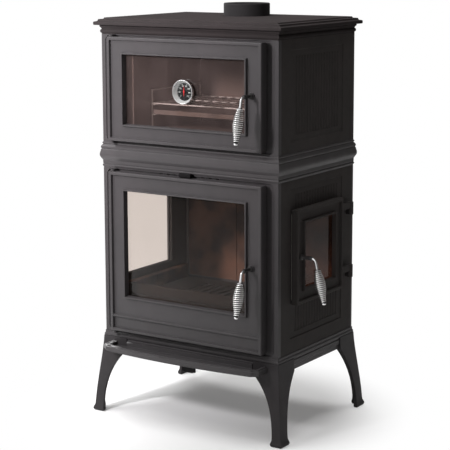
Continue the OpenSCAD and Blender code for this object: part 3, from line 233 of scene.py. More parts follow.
def cast_iron(name, colour, rough=0.46, gloss=0.26, grain=1.0):
    """Sand-cast iron under matt stove paint: fine grain, soft mottle, faint dust."""
    s = Sheet(name)
    fine = s.noise(GRAIN, 2.0, 0.6)
    pits = s.cells(800.0)
    mottle = s.noise(MOTTLE, 4.0, 0.6)
    broad = s.noise(4.0, 2.0, 0.5)
    tone = s.mix(s.smooth(broad, 0.35, 0.68), toned(colour, 0.96), toned(colour, 1.07, 1.03, 1.04))
    base = s.mix(s.smooth(mottle, 0.4, 0.72) * 0.5, tone, toned(colour, 0.84))
    return s.finish(
        Base_Color=base,
        Roughness=s.span(mottle, rough - 0.05, rough + 0.09),
        Normal=s.bump(fine * 0.7 + pits * 0.3, 0.2 * grain, 0.0006),
        Specular_IOR_Level=gloss,
    )


def lip_with_painted_highlight(name, colour, low, high):
    """Cast iron with a painted highlight, drawn as bright bare metal, along its top front edge at
    the left end.
    """
    s = Sheet(name)
    grain = s.noise(GRAIN, 2.0, 0.6)
    mottle = s.noise(MOTTLE, 4.0, 0.6)
    highlight_breakup = s.noise(160.0, 3.0, 0.65, s.stretched(0.25, 1.0, 1.0))
    left = s.smooth(s.axis("X"), low[0] + 0.085, low[0] + 0.012)
    crest = s.smooth(s.axis("Z"), high[2] - 0.006, high[2] - 0.0015)
    # The bright bare-metal mark is a painted highlight where light catches the left end of the top
    # front edge
    painted_highlight = left * crest * s.smooth(highlight_breakup, 0.40, 0.56)
    dusty = s.mix(s.smooth(mottle, 0.4, 0.72) * 0.5, toned(colour, 1.05), toned(colour, 0.84))
    return s.finish(
        Base_Color=s.mix(painted_highlight, dusty, (0.62, 0.62, 0.62)),
        Metallic=painted_highlight * 0.5,
        Roughness=s.span(mottle, 0.42, 0.52),
        Normal=s.bump(grain, 0.2, 0.0006),
        Specular_IOR_Level=0.3,
    )


def chrome(name):
    """Bright plating with faint smears and wipe marks."""
    s = Sheet(name)
    colour = (0.86, 0.86, 0.87)
    smears = s.noise(SMEARS, 3.0, 0.6)
    wipes = s.noise(1.0, 3.0, 0.5, s.stretched(900.0, 900.0, 60.0))
    return s.finish(
        Base_Color=s.mix(s.smooth(smears, 0.4, 0.75) * 0.14, colour, toned(colour, 0.7)),
        Metallic=1.0,
        Roughness=s.span(smears, 0.09, 0.17),
        Normal=s.bump(wipes, 0.02, 0.0002),
    )


def wire_with_painted_gap_shade(name, colour, gap_shade):
    """Plated wire, bright on the crown of each curl, with painted shade darkening the rest of the
    wire down into the gaps between the curls.
    """
    s = Sheet(name)
    crown = s.node("ShaderNodeAttribute", {"attribute_name": "crown"}, out="Fac")
    smears = s.noise(SMEARS, 3.0, 0.6)
    lit_crown = s.smooth(crown + smears * 0.1, 0.62, 0.96)
    return s.finish(
        Base_Color=s.mix(lit_crown, gap_shade, colour),
        Metallic=s.span(lit_crown, 0.6, 1.0),
        Roughness=s.span(lit_crown, 0.5, 0.17),
    )


def steel(name, colour, rough=0.4, metal=0.85):
    """Bare or blacked steel with light scratches."""
    s = Sheet(name)
    blotch = s.noise(90.0, 4.0, 0.6)
    scratch = s.noise(1.0, 3.0, 0.6, s.stretched(30.0, 800.0, 800.0))
    return s.finish(
        Base_Color=s.mix(blotch, colour, toned(colour, 0.72)),
        Metallic=metal,
        Roughness=s.span(blotch, rough, rough + 0.16),
        Normal=s.bump(scratch, 0.06, 0.0004),
    )


def clear_glass(name, tint, film, haze):
    """A flat pane: tinted, glossy, with a thin uneven film baked on its inside."""
    s = Sheet(name)
    cloud = s.noise(7.0, 4.0, 0.6)
    streak = s.noise(1.0, 3.0, 0.6, s.stretched(26.0, 26.0, 5.0))
    soot = s.smooth(cloud * 0.6 + streak * 0.4, 0.42, 0.72)
    dust = s.node("ShaderNodeBsdfDiffuse", None, Color=(*haze, 1.0))
    gloss = s.node("ShaderNodeBsdfGlossy", None, Color=(1.0, 1.0, 1.0, 1.0), Roughness=0.03)
    see = s.node("ShaderNodeBsdfTransparent", None, Color=(*tint, 1.0))
    clouded = s.node("ShaderNodeMixShader", None, s.span(soot, film * 0.7, film * 1.3), see, dust)
    outer = 1.0 - s.node("ShaderNodeNewGeometry", out="Backfacing")
    shine = s.node("ShaderNodeFresnel", None, IOR=1.45) * outer * 0.6
    return s.close(s.node("ShaderNodeMixShader", None, shine, clouded, gloss))


def firebrick(name):
    """Lining bricks, browned and sooted by use, paler where they have burned clean."""
    s = Sheet(name)
    grit = s.noise(420.0, 3.0, 0.6)
    soot = s.noise(9.0, 4.0, 0.6)
    warm = s.noise(30.0, 3.0, 0.6)
    speck = s.cells(260.0)
    clay = s.mix(warm, (0.115, 0.060, 0.042), (0.185, 0.098, 0.068))
    fired = s.mix(s.smooth(speck, 0.25, 0.05) * 0.35, clay, (0.30, 0.19, 0.14))
    return s.finish(
        Base_Color=s.mix(s.smooth(soot, 0.36, 0.66) * 0.85, fired, (0.034, 0.025, 0.022)),
        Roughness=0.92,
        Normal=s.bump(grit, 0.25, 0.0008),
        Specular_IOR_Level=0.2,
    )


def rope(name):
    """Glass fibre rope, greyed by use, its strands crossing on the slant."""
    s = Sheet(name)
    slant = s.axis("X") + s.axis("Z")
    strands = s.node("ShaderNodeMath", {"operation": "SINE"}, slant * 1300.0)
    fluff = s.noise(900.0, 2.0, 0.6)
    weave = strands * 0.5 + 0.5
    return s.finish(
        Base_Color=s.mix(weave, (0.19, 0.18, 0.165), (0.40, 0.385, 0.355)),
        Roughness=0.96,
        Normal=s.bump(weave * 0.7 + fluff * 0.3, 0.7, 0.0012),
        Specular_IOR_Level=0.15,
    )


def sheet_metal(name, colour):
    """Oven sheet, browned by heat."""
    s = Sheet(name)
    heat = s.noise(5.0, 4.0, 0.6)
    speck = s.noise(240.0, 2.0, 0.6)
    return s.finish(
        Base_Color=s.mix(s.smooth(heat, 0.3, 0.72), colour, toned(colour, 0.78, 0.68, 0.62)),
        Metallic=0.25,
        Roughness=s.span(speck, 0.44, 0.62),
        Normal=s.bump(speck, 0.1, 0.0004),
    )


def enamel(name, colour, rough):
    """Smooth paint, very slightly uneven."""
    s = Sheet(name)
    tone = s.noise(300.0, 2.0, 0.5)
    return s.finish(
        Base_Color=s.mix(tone, colour, toned(colour, 0.85)),
        Roughness=s.span(tone, rough, rough + 0.08),
        Specular_IOR_Level=0.3,
    )


IRON = (0.0425, 0.0398, 0.0412)
FINISHES = {
    "casing_iron": cast_iron("casing_iron", IRON),
    "moulding_iron": cast_iron("moulding_iron", IRON, rough=0.42, gloss=0.36),
    "leg_iron": cast_iron("leg_iron", toned(IRON, 0.72), gloss=0.14),
    "collar_iron": cast_iron("collar_iron", toned(IRON, 0.34), gloss=0.15, grain=0.6),
    "door_iron": cast_iron("door_iron", IRON, rough=0.42, gloss=0.3),
    "fire_iron": cast_iron("fire_iron", (0.027, 0.021, 0.018), rough=0.75, gloss=0.12),
    "bolt_steel": steel("bolt_steel", (0.20, 0.19, 0.18)),
    "hinge_steel": steel("hinge_steel", (0.06, 0.057, 0.056), 0.42),
    "sheet_steel": sheet_metal("sheet_steel", (0.165, 0.140, 0.132)),
    "rack_wire": steel("rack_wire", (0.80, 0.77, 0.75), 0.3, 0.45),
    "firebrick": firebrick("firebrick"),
    "window_glass": clear_glass("window_glass", (0.915, 0.885, 0.865), 0.012, (0.30, 0.24, 0.22)),
    "seal_rope": rope("seal_rope"),
    "air_control": cast_iron("air_control", (0.007, 0.0065, 0.007), rough=0.6, gloss=0.1),
    "bright_chrome": chrome("bright_chrome"),
    # The grip wire's second colour is painted shade for the gaps between the curls
    "grip_wire": wire_with_painted_gap_shade("grip_wire", (0.95, 0.94, 0.93), (0.030, 0.027, 0.025)),
    "dial_black": enamel("dial_black", (0.004, 0.004, 0.0045), 0.6),
    "needle_red": enamel("needle_red", (0.62, 0.03, 0.03), 0.35),
}

# Finishes of single pieces
# The side panels, the side door and its hinges get a darker, warmer, less glossy copy of the
# casing paint: painted shade for the dimmer light on the right side
SHADED_SIDE_IRON = cast_iron("shaded_side_iron", toned(IRON, 0.92, 0.90, 0.84), rough=0.66, gloss=0.08)
# The top plate gets a much darker, matt copy of the casing paint: painted shade for the dim light
# on its top
SHADED_TOP_IRON = cast_iron("shaded_top_iron", toned(IRON, 0.58, 0.535, 0.52), rough=0.75, gloss=0.05)
# The ash lip carries a painted highlight at its left end
LIP_IRON = lip_with_painted_highlight("lip_iron", IRON, *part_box("ash_lip"))
OVEN_PANE = clear_glass("oven_pane", (0.92, 0.88, 0.865), 0.05, (0.32, 0.245, 0.235))
SIDE_PANE = clear_glass("side_pane", (0.66, 0.54, 0.50), 0.06, (0.22, 0.12, 0.09))
STEM_IRON = cast_iron("stem_iron", (0.014, 0.013, 0.013), rough=0.42, gloss=0.4, grain=0.5)
CORE_STEEL = steel("core_steel", (0.020, 0.018, 0.017), 0.5)
DIAL_SATIN = steel("dial_satin", (0.50, 0.49, 0.48), 0.32, 0.2)
DIAL_WHITE = enamel("dial_white", (0.60, 0.60, 0.58), 0.5)
LENS = clear_glass("lens", (0.97, 0.98, 0.98), 0.003, (0.4, 0.4, 0.4))


def refinish(piece, finish):
    """Gives a piece this finish in place of any other."""
    piece.data.materials.clear()
    piece.data.materials.append(finish)


OWN_FINISHES = {
    "lower_right_panel": SHADED_SIDE_IRON,
    "lower_left_panel": SHADED_SIDE_IRON,
    "upper_right_panel": SHADED_SIDE_IRON,
    "upper_left_panel": SHADED_SIDE_IRON,
    "side_door": SHADED_SIDE_IRON,
    "side_hinges": SHADED_SIDE_IRON,
    "top_plate": SHADED_TOP_IRON,
    "ash_lip": LIP_IRON,
    "oven_glass": OVEN_PANE,
    "side_glass": SIDE_PANE,
}

slot_of = {part["node"]: part["material_slot"] for part in frame["record"]["subparts"]}
for node_name, casting in NODES.items():
    refinish(casting, OWN_FINISHES.get(node_name, FINISHES[slot_of[node_name]]))


# ---------------------------------------------------------------- tools of the bench

# Points nearer than this are one point, and in the dial's numbers, whose strokes
# are finer, nearer than the second
MERGED = 1e-6
MERGED_FINE = 1e-7


def put_down():
    """Deselects everything, so that only the next form is worked on."""
    if bpy.context.object and bpy.context.object.mode != "OBJECT":
        bpy.ops.object.mode_set(mode="OBJECT")
    bpy.ops.object.select_all(action="DESELECT")


def pick_up(piece):
    """Selects one piece alone."""
    put_down()
    piece.select_set(True)
    bpy.context.view_layer.objects.active = piece


def settle(piece, name, body, slot, finish=None, stands_for=(), corner=40.0):
    """Gives a finished piece its name, its finish and the body that carries it.

    Edges flatter than the corner, in degrees, are shaded smooth; None leaves them.
    """
    pick_up(piece)
    bpy.ops.object.transform_apply(location=True, rotation=True, scale=True)
    if corner:
        bpy.ops.object.shade_smooth_by_angle(angle=math.radians(corner))
    piece.name = name
    piece.data.name = name
    refinish(piece, finish or FINISHES[slot])
    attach(piece, body)
    if stands_for:
        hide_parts(*stands_for)


def facing(axis):
    """The turn that takes a flat form's normal from +Z to the axis."""
    return Vector(axis).to_track_quat("Z", "Y").to_euler()


def turned(start, axis, rings, sides=64):
    """A turned form: a disc drawn out along its axis, ring by ring, and closed."""
    put_down()
    radius, depth = rings[0]
    bpy.ops.mesh.primitive_circle_add(
        vertices=sides, radius=radius, fill_type="NGON", location=start + axis * depth,
        rotation=facing(axis),
    )
    piece = bpy.context.object
    bpy.ops.object.mode_set(mode="EDIT")
    bpy.ops.mesh.select_mode(type="EDGE")
    bpy.ops.mesh.select_all(action="SELECT")
    for next_radius, next_depth in rings[1:]:
        bpy.ops.mesh.extrude_edges_move(
            TRANSFORM_OT_translate={"value": axis * (next_depth - depth)}
        )
        size = next_radius / radius
        bpy.ops.transform.resize(value=(size, size, size),
                                 center_override=start + axis * next_depth)
        radius, depth = next_radius, next_depth
    bpy.ops.mesh.edge_face_add()
    bpy.ops.mesh.select_all(action="SELECT")
    bpy.ops.mesh.normals_make_consistent(inside=False)
    bpy.ops.object.mode_set(mode="OBJECT")
    return piece


def wire(points, radius, roundness, closed=False):
    """A round wire bent along the points, as a closed mesh."""
    put_down()
    bpy.ops.curve.primitive_nurbs_path_add(location=(0.0, 0.0, 0.0))
    path = bpy.context.object
    shape = path.data
    shape.splines.clear()
    line = shape.splines.new("POLY")
    line.points.add(len(points) - 1)
    for index, point in enumerate(points):
        line.points[index].co = (*point, 1.0)
        line.points[index].radius = 1.0
    line.use_cyclic_u = closed
    shape.dimensions = "3D"
    shape.twist_mode = "MINIMUM"
    shape.bevel_depth = radius
    shape.bevel_resolution = roundness
    shape.use_fill_caps = not closed
    bpy.ops.object.convert(target="MESH")
    piece = bpy.context.object
    bpy.ops.object.mode_set(mode="EDIT")
    bpy.ops.mesh.select_all(action="SELECT")
    bpy.ops.mesh.remove_doubles(threshold=MERGED)
    bpy.ops.mesh.normals_make_consistent(inside=False)
    bpy.ops.object.mode_set(mode="OBJECT")
    return piece


def joined(pieces):
    """Several forms made one piece."""
    put_down()
    for piece in pieces:
        piece.select_set(True)
    bpy.context.view_layer.objects.active = pieces[0]
    bpy.ops.object.join()
    return bpy.context.object


# Angles in degrees: faces flatter than the first are made one, edges sharper than
# the second are rounded, and edges flatter than the third are shaded smooth
FLAT = 0.4
SHARP = 24.0
SMOOTH = 34.0


def eased(node, width, clamp):
    """A casting's own form with its sharp edges rounded, as a mould leaves them.

    With clamp, the rounding gives way where edges crowd together.
    """
    source = NODES[node]
    copy = bpy.data.objects.new(node + "_eased", source.data.copy())
    bpy.context.collection.objects.link(copy)
    pick_up(copy)
    bpy.ops.object.mode_set(mode="EDIT")
    bpy.ops.mesh.select_all(action="SELECT")
    bpy.ops.mesh.remove_doubles(threshold=MERGED)
    bpy.ops.mesh.dissolve_limited(angle_limit=math.radians(FLAT))
    bpy.ops.mesh.vert_connect_concave()
    bpy.ops.object.mode_set(mode="OBJECT")
    rounding = copy.modifiers.new("rounding", "BEVEL")
    rounding.width = width
    rounding.segments = 2
    rounding.limit_method = "ANGLE"
    rounding.angle_limit = math.radians(SHARP)
    rounding.use_clamp_overlap = clamp
    rounding.miter_outer = "MITER_ARC"
    bpy.ops.object.modifier_apply(modifier="rounding")
    bpy.ops.object.shade_smooth_by_angle(angle=math.radians(SMOOTH))
    flats = copy.modifiers.new("flats", "WEIGHTED_NORMAL")
    flats.mode = "FACE_AREA"
    flats.keep_sharp = True
    bpy.ops.object.modifier_apply(modifier="flats")
    return copy


body_of = {
    node_name: body
    for body, node_names in frame["record"]["behaviour"]["bodies"].items()
    for node_name in node_names
}

# How wide the rounding is on each casting's edges
EDGES = {
    "top_plate": 0.0009,
    "middle_cornice": 0.0009,
    "base_casting": 0.0009,
    "ash_lip": 0.0009,
    "oven_door": 0.0008,
    "fire_door": 0.0008,
    "side_door": 0.0008,
    "upper_front_frame": 0.0008,
    "lower_front_frame": 0.0008,
    "leg_front_left": 0.0016,
    "leg_front_right": 0.0016,
    "leg_rear_left": 0.0016,
    "leg_rear_right": 0.0016,
    "upper_air_slide": 0.0009,
    "lower_air_slide": 0.0008,
    "side_hinges": 0.0009,
    "log_guard": 0.0008,
    "fire_bricks": 0.0018,
}
for node_name, width in EDGES.items():
    casting = eased(node_name, width, clamp="frame" in node_name)
    settle(casting, node_name + "_cast", body_of[node_name], slot_of[node_name],
           OWN_FINISHES.get(node_name), (node_name,), corner=None)

# ---------------------------------------------------------------- handles and wound grips
# A handle's own measures: out from the door's face and down from its stem.

STEM_R = 0.005
ROD_R = 0.004
STEM_LEN = 0.033
BEND_R = 0.016
BEND_STEPS = 14
LEAN = math.radians(13.0)
BEND_TURN = math.pi / 2 - LEAN
ROD_LEN = 0.02422
GRIP_LEN = 0.09853

# The wound wire: its radius, its clearance at each end, its curls, and the
# coil's radius at the top, at its fullest and at the foot
WIRE_R = 0.0021
COIL_CLEAR = 0.0004
CURLS = 16
CURL_POINTS = 24
COIL_TOP_R = 0.0086
COIL_FULL_R = 0.0152
COIL_FOOT_R = 0.0066
FULLEST = 0.42


def coil_radius(s):
    """The coil swells from its top to its fullest and draws in again; s runs 0 to 1."""
    if s < FULLEST:
        rise = math.sin(math.pi / 2 * s / FULLEST)
        return COIL_TOP_R + (COIL_FULL_R - COIL_TOP_R) * rise
    fall = 0.5 + 0.5 * math.cos(math.pi * (s - FULLEST) / (1 - FULLEST))
    return COIL_FOOT_R + (COIL_FULL_R - COIL_FOOT_R) * fall


def make_handle(prefix, stem, across, out, door_t, body):
    """The stem, the bent rod, the core with its nut, and the wire wound round it."""

    def spot(forward, rise):
        return stem + out * forward + UP * rise

    def on_bend(angle):
        return spot(STEM_LEN + BEND_R * math.sin(angle), -BEND_R * (1 - math.cos(angle)))

    along = out * math.sin(LEAN) - UP * math.cos(LEAN)
    beside = out * math.cos(LEAN) + UP * math.sin(LEAN)
    bend_end = on_bend(BEND_TURN)

    shank = turned(stem, out, [
        (STEM_R, -door_t - 0.013), (STEM_R, -0.0045), (0.0088, -0.0035), (0.0092, -0.002),
        (0.0092, 0.0005), (0.0084, 0.002), (0.0062, 0.003), (STEM_R, 0.005), (STEM_R, 0.022),
        (0.0058, 0.0245), (0.0066, 0.028), (0.0067, 0.031), (0.0060, 0.0345), (0.0042, 0.037),
        (0.0015, 0.0382),
    ], 40)
    settle(shank, prefix + "_stem", body, "bright_chrome", STEM_IRON)

    bend = [spot(0.027, 0.0), spot(0.030, 0.0)]
    bend += [on_bend(BEND_TURN * step / BEND_STEPS) for step in range(BEND_STEPS + 1)]
    bend.append(bend_end + along * (ROD_LEN - 0.001))
    rod = wire(bend, ROD_R, 6)
    cap = turned(bend_end, along, [
        (0.0042, ROD_LEN - 0.0062), (0.0060, ROD_LEN - 0.0048), (0.0098, ROD_LEN - 0.0030),
        (0.0106, ROD_LEN - 0.0022), (0.0107, ROD_LEN - 0.0010), (0.0100, ROD_LEN - 0.0001),
        (0.0030, ROD_LEN - 0.0001),
    ], 40)
    foot = ROD_LEN + GRIP_LEN
    nut = turned(bend_end, along, [
        (0.0062, foot), (0.0068, foot + 0.0006), (0.0070, foot + 0.0018),
        (0.0065, foot + 0.0036), (0.0056, foot + 0.0049), (0.0034, foot + 0.0057),
        (0.0010, foot + 0.0060),
    ], 40)
    settle(joined([rod, cap, nut]), prefix + "_rod", body, "bright_chrome",
           stands_for=(prefix + "_handle",))

    core = turned(bend_end, along, [
        (0.0030, ROD_LEN - 0.0005), (0.0030, ROD_LEN + 0.004), (0.0036, ROD_LEN + 0.006),
        (0.0036, foot - 0.006), (0.0030, foot - 0.004), (0.0030, foot + 0.0005),
    ], 24)
    settle(core, prefix + "_core", body, "bright_chrome", CORE_STEEL)

    start = ROD_LEN + WIRE_R + COIL_CLEAR
    span = GRIP_LEN - 2 * (WIRE_R + COIL_CLEAR)
    total = CURLS * CURL_POINTS
    line = []
    for step in range(total + 1):
        s = step / total
        angle = 2 * math.pi * step / CURL_POINTS
        centre = bend_end + along * (start + span * s)
        line.append(centre + (across * math.cos(angle) + beside * math.sin(angle))
                    * coil_radius(s))
    coil = wire(line, WIRE_R, 4)
    # How far out each point of the wire stands, which places the painted shade between the curls
    crown = coil.data.attributes.new("crown", "FLOAT", "POINT")
    for vertex, level in zip(coil.data.vertices, crown.data):
        arm = vertex.co - bend_end
        reach = arm.dot(along)
        s = (reach - start) / span
        level.value = ((arm - along * reach).length - coil_radius(s)) / WIRE_R
    settle(coil, prefix + "_coil", body, "grip_wire", stands_for=(prefix + "_grip_coil",),
           corner=60.0)


make_handle("oven", at_body(STEM_X, DOOR_FACE_Y, OVEN_MID_Z + STEM_LIFT), RIGHT, FRONT,
            FRONT_DOOR_T, "oven_handle")
make_handle("fire", at_body(STEM_X, DOOR_FACE_Y, FIRE_MID_Z + STEM_LIFT), RIGHT, FRONT,
            FRONT_DOOR_T, "fire_handle")
make_handle("side", at_body(SIDE_FACE_X, SIDE_STEM_Y, SIDE_MID_Z), BACK, RIGHT,
            SIDE_DOOR_T, "side_handle")

# ---------------------------------------------------------------- thermometer
# Drawn about its axis, out from the glass's front face.

GLASS_IN = 0.0193
DIAL_UP = 0.004
DIAL = at_body(0.0, DOOR_FACE_Y + GLASS_IN, OVEN_MID_Z + DIAL_UP)
DIAL_FACE = 0.0034
DIAL_SWEEP = math.radians(270.0)
NUMBERS = 8
NUMBER_STEP = 50
NUMBER_SIZE = 0.0058
NUMBER_RING = 0.0178
MARK_RING = 0.0268
MARK_LIFT = 0.0002
NEEDLE_OUT = 0.0064
NEEDLE_T = 0.0007

case = turned(DIAL, FRONT, [
    (0.0030, -0.0383), (0.0030, -0.0123), (0.0090, -0.0123), (0.0090, -0.0043),
    (0.0040, -0.0043), (0.0040, 0.0003), (0.0305, 0.0003), (0.0345, 0.0030), (0.0362, 0.0070),
    (0.0373, 0.0110), (0.0375, 0.0130), (0.0373, 0.0148), (0.0367, 0.0157), (0.0360, 0.0160),
    (0.0353, 0.0157), (0.0350, 0.0150), (0.0288, 0.0030), (0.0288, 0.0018), (0.0010, 0.0018),
], 96)
settle(case, "thermometer_bezel", "oven_door", "bright_chrome",
       stands_for=("thermometer_case",), corner=50.0)

cup = turned(DIAL, FRONT, [
    (0.0010, 0.0019), (0.0284, 0.0019), (0.0286, 0.0030), (0.0349, 0.0152), (0.0345, 0.0153),
    (0.0281, 0.0032), (0.0010, 0.0026),
], 96)
settle(cup, "thermometer_cup", "oven_door", "bright_chrome", DIAL_SATIN, corner=50.0)

plate = turned(DIAL, FRONT, [
    (0.0010, 0.0027), (0.0274, 0.0027), (0.0278, 0.0030), (0.0276, DIAL_FACE),
    (0.0010, DIAL_FACE),
], 96)
settle(plate, "dial_plate", "oven_door", "dial_black", stands_for=("thermometer_dial",))

lens = turned(DIAL, FRONT, [
    (0.0340, 0.0136), (0.0340, 0.0140), (0.0300, 0.0147), (0.0220, 0.0153), (0.0120, 0.0157),
    (0.0040, 0.0158), (0.0010, 0.0158),
], 96)
settle(lens, "thermometer_dome", "oven_door", "window_glass", LENS,
       stands_for=("thermometer_lens",), corner=50.0)

# One long mark and one short one, each copied round the dial from the top, and
# the ring of marks then turned back by half its sweep
marks = []
for reach, width, count in ((0.0048, 0.0010, NUMBERS), (0.0026, 0.0004, 29)):
    put_down()
    bpy.ops.mesh.primitive_plane_add(
        size=1.0, location=DIAL + FRONT * DIAL_FACE + UP * (MARK_RING - reach / 2),
        rotation=facing(FRONT),
    )
    mark = bpy.context.object
    bpy.ops.object.mode_set(mode="EDIT")
    bpy.ops.transform.resize(value=(width, 1.0, reach), center_override=mark.location)
    bpy.ops.mesh.extrude_region_move(TRANSFORM_OT_translate={"value": FRONT * MARK_LIFT})
    bpy.ops.transform.resize(value=(0.8, 1.0, 0.94), center_override=mark.location)
    bpy.ops.mesh.select_all(action="SELECT")
    bpy.ops.mesh.normals_make_consistent(inside=False)
    bpy.ops.mesh.spin(steps=count - 1, dupli=True, angle=DIAL_SWEEP, center=DIAL, axis=FRONT)
    bpy.ops.object.mode_set(mode="OBJECT")
    bpy.ops.object.transform_apply(location=True, rotation=True, scale=True)
    bpy.ops.object.mode_set(mode="EDIT")
    bpy.ops.mesh.select_all(action="SELECT")
    bpy.ops.transform.rotate(value=DIAL_SWEEP / 2, orient_axis="Y", center_override=DIAL)
    bpy.ops.object.mode_set(mode="OBJECT")
    marks.append(mark)

numbers = []
for index in range(NUMBERS):
    angle = DIAL_SWEEP * (index / (NUMBERS - 1) - 0.5)
    put_down()
    bpy.ops.object.text_add(
        location=DIAL + FRONT * DIAL_FACE
        + (RIGHT * math.sin(angle) + UP * math.cos(angle)) * NUMBER_RING,
        rotation=(math.pi / 2, 0.0, 0.0),
    )
    number = bpy.context.object
    number.data.body = str(NUMBER_STEP * index)
    number.data.size = NUMBER_SIZE
    number.data.extrude = 0.0001
    number.data.align_x = "CENTER"
    number.data.align_y = "CENTER"
    bpy.ops.object.convert(target="MESH")
    number = bpy.context.object
    bpy.ops.object.mode_set(mode="EDIT")
    bpy.ops.mesh.select_all(action="SELECT")
    bpy.ops.mesh.remove_doubles(threshold=MERGED_FINE)
    bpy.ops.object.mode_set(mode="OBJECT")
    numbers.append(number)
settle(joined(marks + numbers), "dial_marks", "oven_door", "dial_black", DIAL_WHITE)

# The needle is a small square on its corner, its upper and lower corners drawn out
put_down()
bpy.ops.mesh.primitive_circle_add(vertices=4, radius=0.0017, fill_type="NGON",
                                  location=DIAL + FRONT * NEEDLE_OUT, rotation=facing(FRONT))
needle = bpy.context.object
bpy.ops.object.transform_apply(location=True, rotation=True)
bpy.context.tool_settings.mesh_select_mode = (True, False, False)
for lift, reach in ((0.0015, 0.0185), (-0.0015, -0.0150)):
    bpy.ops.object.mode_set(mode="EDIT")
    bpy.ops.mesh.select_all(action="DESELECT")
    bpy.ops.object.mode_set(mode="OBJECT")
    for vertex in needle.data.vertices:
        vertex.select = (vertex.co.z - DIAL.z) / lift > 1.0
    bpy.ops.object.mode_set(mode="EDIT")
    bpy.ops.transform.translate(value=UP * reach)
    bpy.ops.object.mode_set(mode="OBJECT")
bpy.ops.object.mode_set(mode="EDIT")
bpy.ops.mesh.select_all(action="SELECT")
bpy.ops.mesh.extrude_region_move(TRANSFORM_OT_translate={"value": FRONT * NEEDLE_T})
bpy.ops.mesh.select_all(action="SELECT")
bpy.ops.mesh.normals_make_consistent(inside=False)
bpy.ops.mesh.bevel(offset=0.0003, segments=1)
bpy.ops.object.mode_set(mode="OBJECT")
hub = turned(DIAL, FRONT, [
    (0.00125, 0.0030), (0.00125, 0.0060), (0.0024, 0.0061), (0.0026, 0.0068),
    (0.0022, 0.0076), (0.0010, 0.0080),
], 32)
settle(joined([needle, hub]), "dial_needle", "thermometer_needle", "needle_red",
       stands_for=("thermometer_needle",))

# ---------------------------------------------------------------- rope seals

ROPE_R = 0.0030
ROPE_CORNER = 0.012
ROPE_CORNER_STEPS = 6
FRONT_ROPE_Y = -0.2317
SIDE_ROPE_X = 0.3262
SIDE_ROPE_Y = -0.016
FRONT_ROPE_HALF = 0.2742


def rope_loop(name, middle, across, half_w, half_h, body, stands_for):
    """A loop of rope with rounded corners, laid in the groove round a door's back."""
    line = []
    for quarter in range(4):
        sx = 1 if quarter in (0, 3) else -1
        sz = 1 if quarter in (0, 1) else -1
        centre = (middle + across * sx * (half_w - ROPE_CORNER)
                  + UP * sz * (half_h - ROPE_CORNER))
        for step in range(ROPE_CORNER_STEPS + 1):
            angle = math.pi / 2 * (quarter + step / ROPE_CORNER_STEPS)
            outward = across * math.cos(angle) + UP * math.sin(angle)
            line.append(centre + outward * ROPE_CORNER)
    settle(wire(line, ROPE_R, 4, closed=True), name, body, "seal_rope",
           stands_for=(stands_for,), corner=60.0)


rope_loop("oven_rope", at_body(0.0, FRONT_ROPE_Y, OVEN_MID_Z), RIGHT, FRONT_ROPE_HALF, 0.1527,
          "oven_door", "oven_seal")
rope_loop("fire_rope", at_body(0.0, FRONT_ROPE_Y, FIRE_MID_Z), RIGHT, FRONT_ROPE_HALF, 0.2475,
          "fire_door", "fire_seal")
rope_loop("side_rope", at_body(SIDE_ROPE_X, SIDE_ROPE_Y, SIDE_MID_Z), BACK, 0.1346, 0.1391,
          "side_door", "side_seal")

# ---------------------------------------------------------------- studio

GLOW = (1.0, 1.0, 1.0, 1.0)
FLOOR_SIZE = 30.0
FLOOR_DROP = 0.0005
FLOOR_COLOUR = (0.93, 0.93, 0.93, 1.0)

# The floor takes the object's shadow near its middle and glows white further off
SHADOW_MIDDLE = at_body(-0.04, -0.04, 0.0)
SHADOW_NEAR = 0.36
SHADOW_FAR = 0.66
NEAR_GLOW = 0.15

# Gloss sees white walls in front and on the left, dark ones behind and on the right
DARK_WALLS = (0.66, 0.75, 0.0)
WALLS_BLEND = (-0.45, 0.30)
DARK_WALL_COLOUR = (0.09, 0.085, 0.08)
AMBIENT = (1.0, 0.95, 0.91, 1.0)
AMBIENT_LEVEL = 0.16

put_down()
bpy.ops.mesh.primitive_plane_add(size=FLOOR_SIZE, location=(0.0, 0.0, -FLOOR_DROP))
floor = bpy.context.object
floor.name = "studio_floor"
bpy.ops.object.transform_apply(location=True)
s = Sheet("studio_floor")
lit = s.node("ShaderNodeBsdfDiffuse", None, Color=FLOOR_COLOUR)
white = s.node("ShaderNodeEmission", None, Color=GLOW, Strength=1.0)
distance = s.node("ShaderNodeVectorMath", {"operation": "DISTANCE"}, s.place(),
                  tuple(SHADOW_MIDDLE), out="Value")
glow = s.span(s.smooth(distance, SHADOW_NEAR, SHADOW_FAR), NEAR_GLOW, 1.0)
refinish(floor, s.close(s.node("ShaderNodeMixShader", None, glow * s.looked_at(), lit, white)))

world = bpy.data.worlds.new("studio")
bpy.context.scene.world = world
world.use_nodes = True
s = Sheet("studio", world.node_tree)
towards = s.node("ShaderNodeVectorMath", {"operation": "DOT_PRODUCT"},
                 s.node("ShaderNodeTexCoord", out="Generated"), DARK_WALLS, out="Value")
walls = s.mix(s.smooth(towards, *WALLS_BLEND), (1.0, 1.0, 1.0), DARK_WALL_COLOUR)
ambient = s.node("ShaderNodeBackground", None, Color=AMBIENT, Strength=AMBIENT_LEVEL)
mirrored = s.node("ShaderNodeBackground", None, walls, 1.0)
backdrop = s.node("ShaderNodeBackground", None, GLOW, 1.0)
unseen = s.node("ShaderNodeMixShader", None, s.node("ShaderNodeLightPath", out="Is Glossy Ray"),
                ambient, mirrored)
around = s.node("ShaderNodeMixShader", None, s.looked_at(), unseen, backdrop)
s.node("ShaderNodeOutputWorld", None, around)


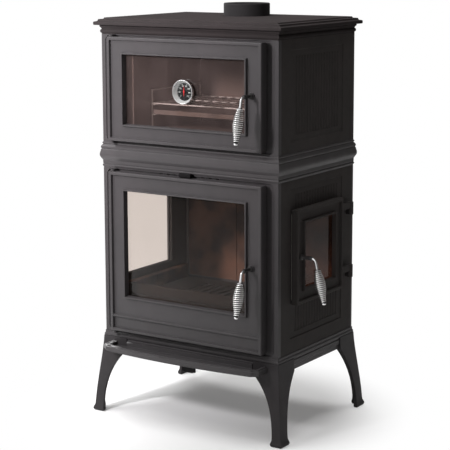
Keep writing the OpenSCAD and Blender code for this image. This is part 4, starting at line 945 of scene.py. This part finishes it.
def softbox(name, place, aim, size, watts, colour=(1.0, 1.0, 1.0), seen=False):
    """A rectangular lamp turned to face the aim; seen says if gloss mirrors it."""
    lamp = bpy.data.lights.new(name, "AREA")
    lamp.shape = "RECTANGLE"
    lamp.size, lamp.size_y = size
    lamp.energy = watts
    lamp.color = colour
    holder = bpy.data.objects.new(name, lamp)
    bpy.context.collection.objects.link(holder)
    holder.location = place
    holder.visible_camera = False
    holder.visible_glossy = seen
    holder.rotation_euler = (aim - place).to_track_quat("-Z", "Y").to_euler()


# Places, sizes and aims in metres from the body's middle
softbox("left_softbox", place=at_body(-0.55, -2.27, 1.75), aim=at_body(-2.71, -0.26, 2.88),
        size=(0.45, 0.45), watts=300.2, colour=(1.0, 0.98, 1.0))
softbox("overhead_softbox", place=at_body(-0.40, 0.0, 3.1), aim=at_body(-0.15, 0.0, 0.0),
        size=(3.0, 3.0), watts=108.0)
softbox("edge_softbox", place=at_body(-1.50, -1.60, 2.60), aim=at_body(0.0, -0.2, 0.8),
        size=(1.4, 0.7), watts=26.0, seen=True)

# ---------------------------------------------------------------- camera

# Its place is given in body widths, its lens and shift in the picture's pixels
BODY_WIDTH = 0.650
CAMERA_PLACE = (3.958 * BODY_WIDTH, -6.035 * BODY_WIDTH, 2.309 * BODY_WIDTH)
CAMERA_YAW = math.radians(33.41)
CAMERA_DIP = math.radians(9.25)
CAMERA_ROLL = math.radians(-0.18)
FOCAL_PIXELS = 1486.0
FRAME_PIXELS = 450.0
RISE_PIXELS = 40.0
SENSOR_WIDTH = 36.0

camera_data = bpy.data.cameras.new("studio_camera")
camera_data.sensor_width = SENSOR_WIDTH
camera_data.lens = FOCAL_PIXELS / FRAME_PIXELS * SENSOR_WIDTH
camera_data.shift_y = -RISE_PIXELS / FRAME_PIXELS
camera = bpy.data.objects.new("studio_camera", camera_data)
bpy.context.collection.objects.link(camera)
turn = (
    Matrix.Rotation(CAMERA_YAW, 4, "Z")
    @ Matrix.Rotation(math.pi / 2 - CAMERA_DIP, 4, "X")
    @ Matrix.Rotation(CAMERA_ROLL, 4, "Z")
)
camera.matrix_world = Matrix.Translation(at_body(*CAMERA_PLACE)) @ turn
bpy.context.scene.camera = camera
bpy.context.scene.view_settings.view_transform = "Standard"
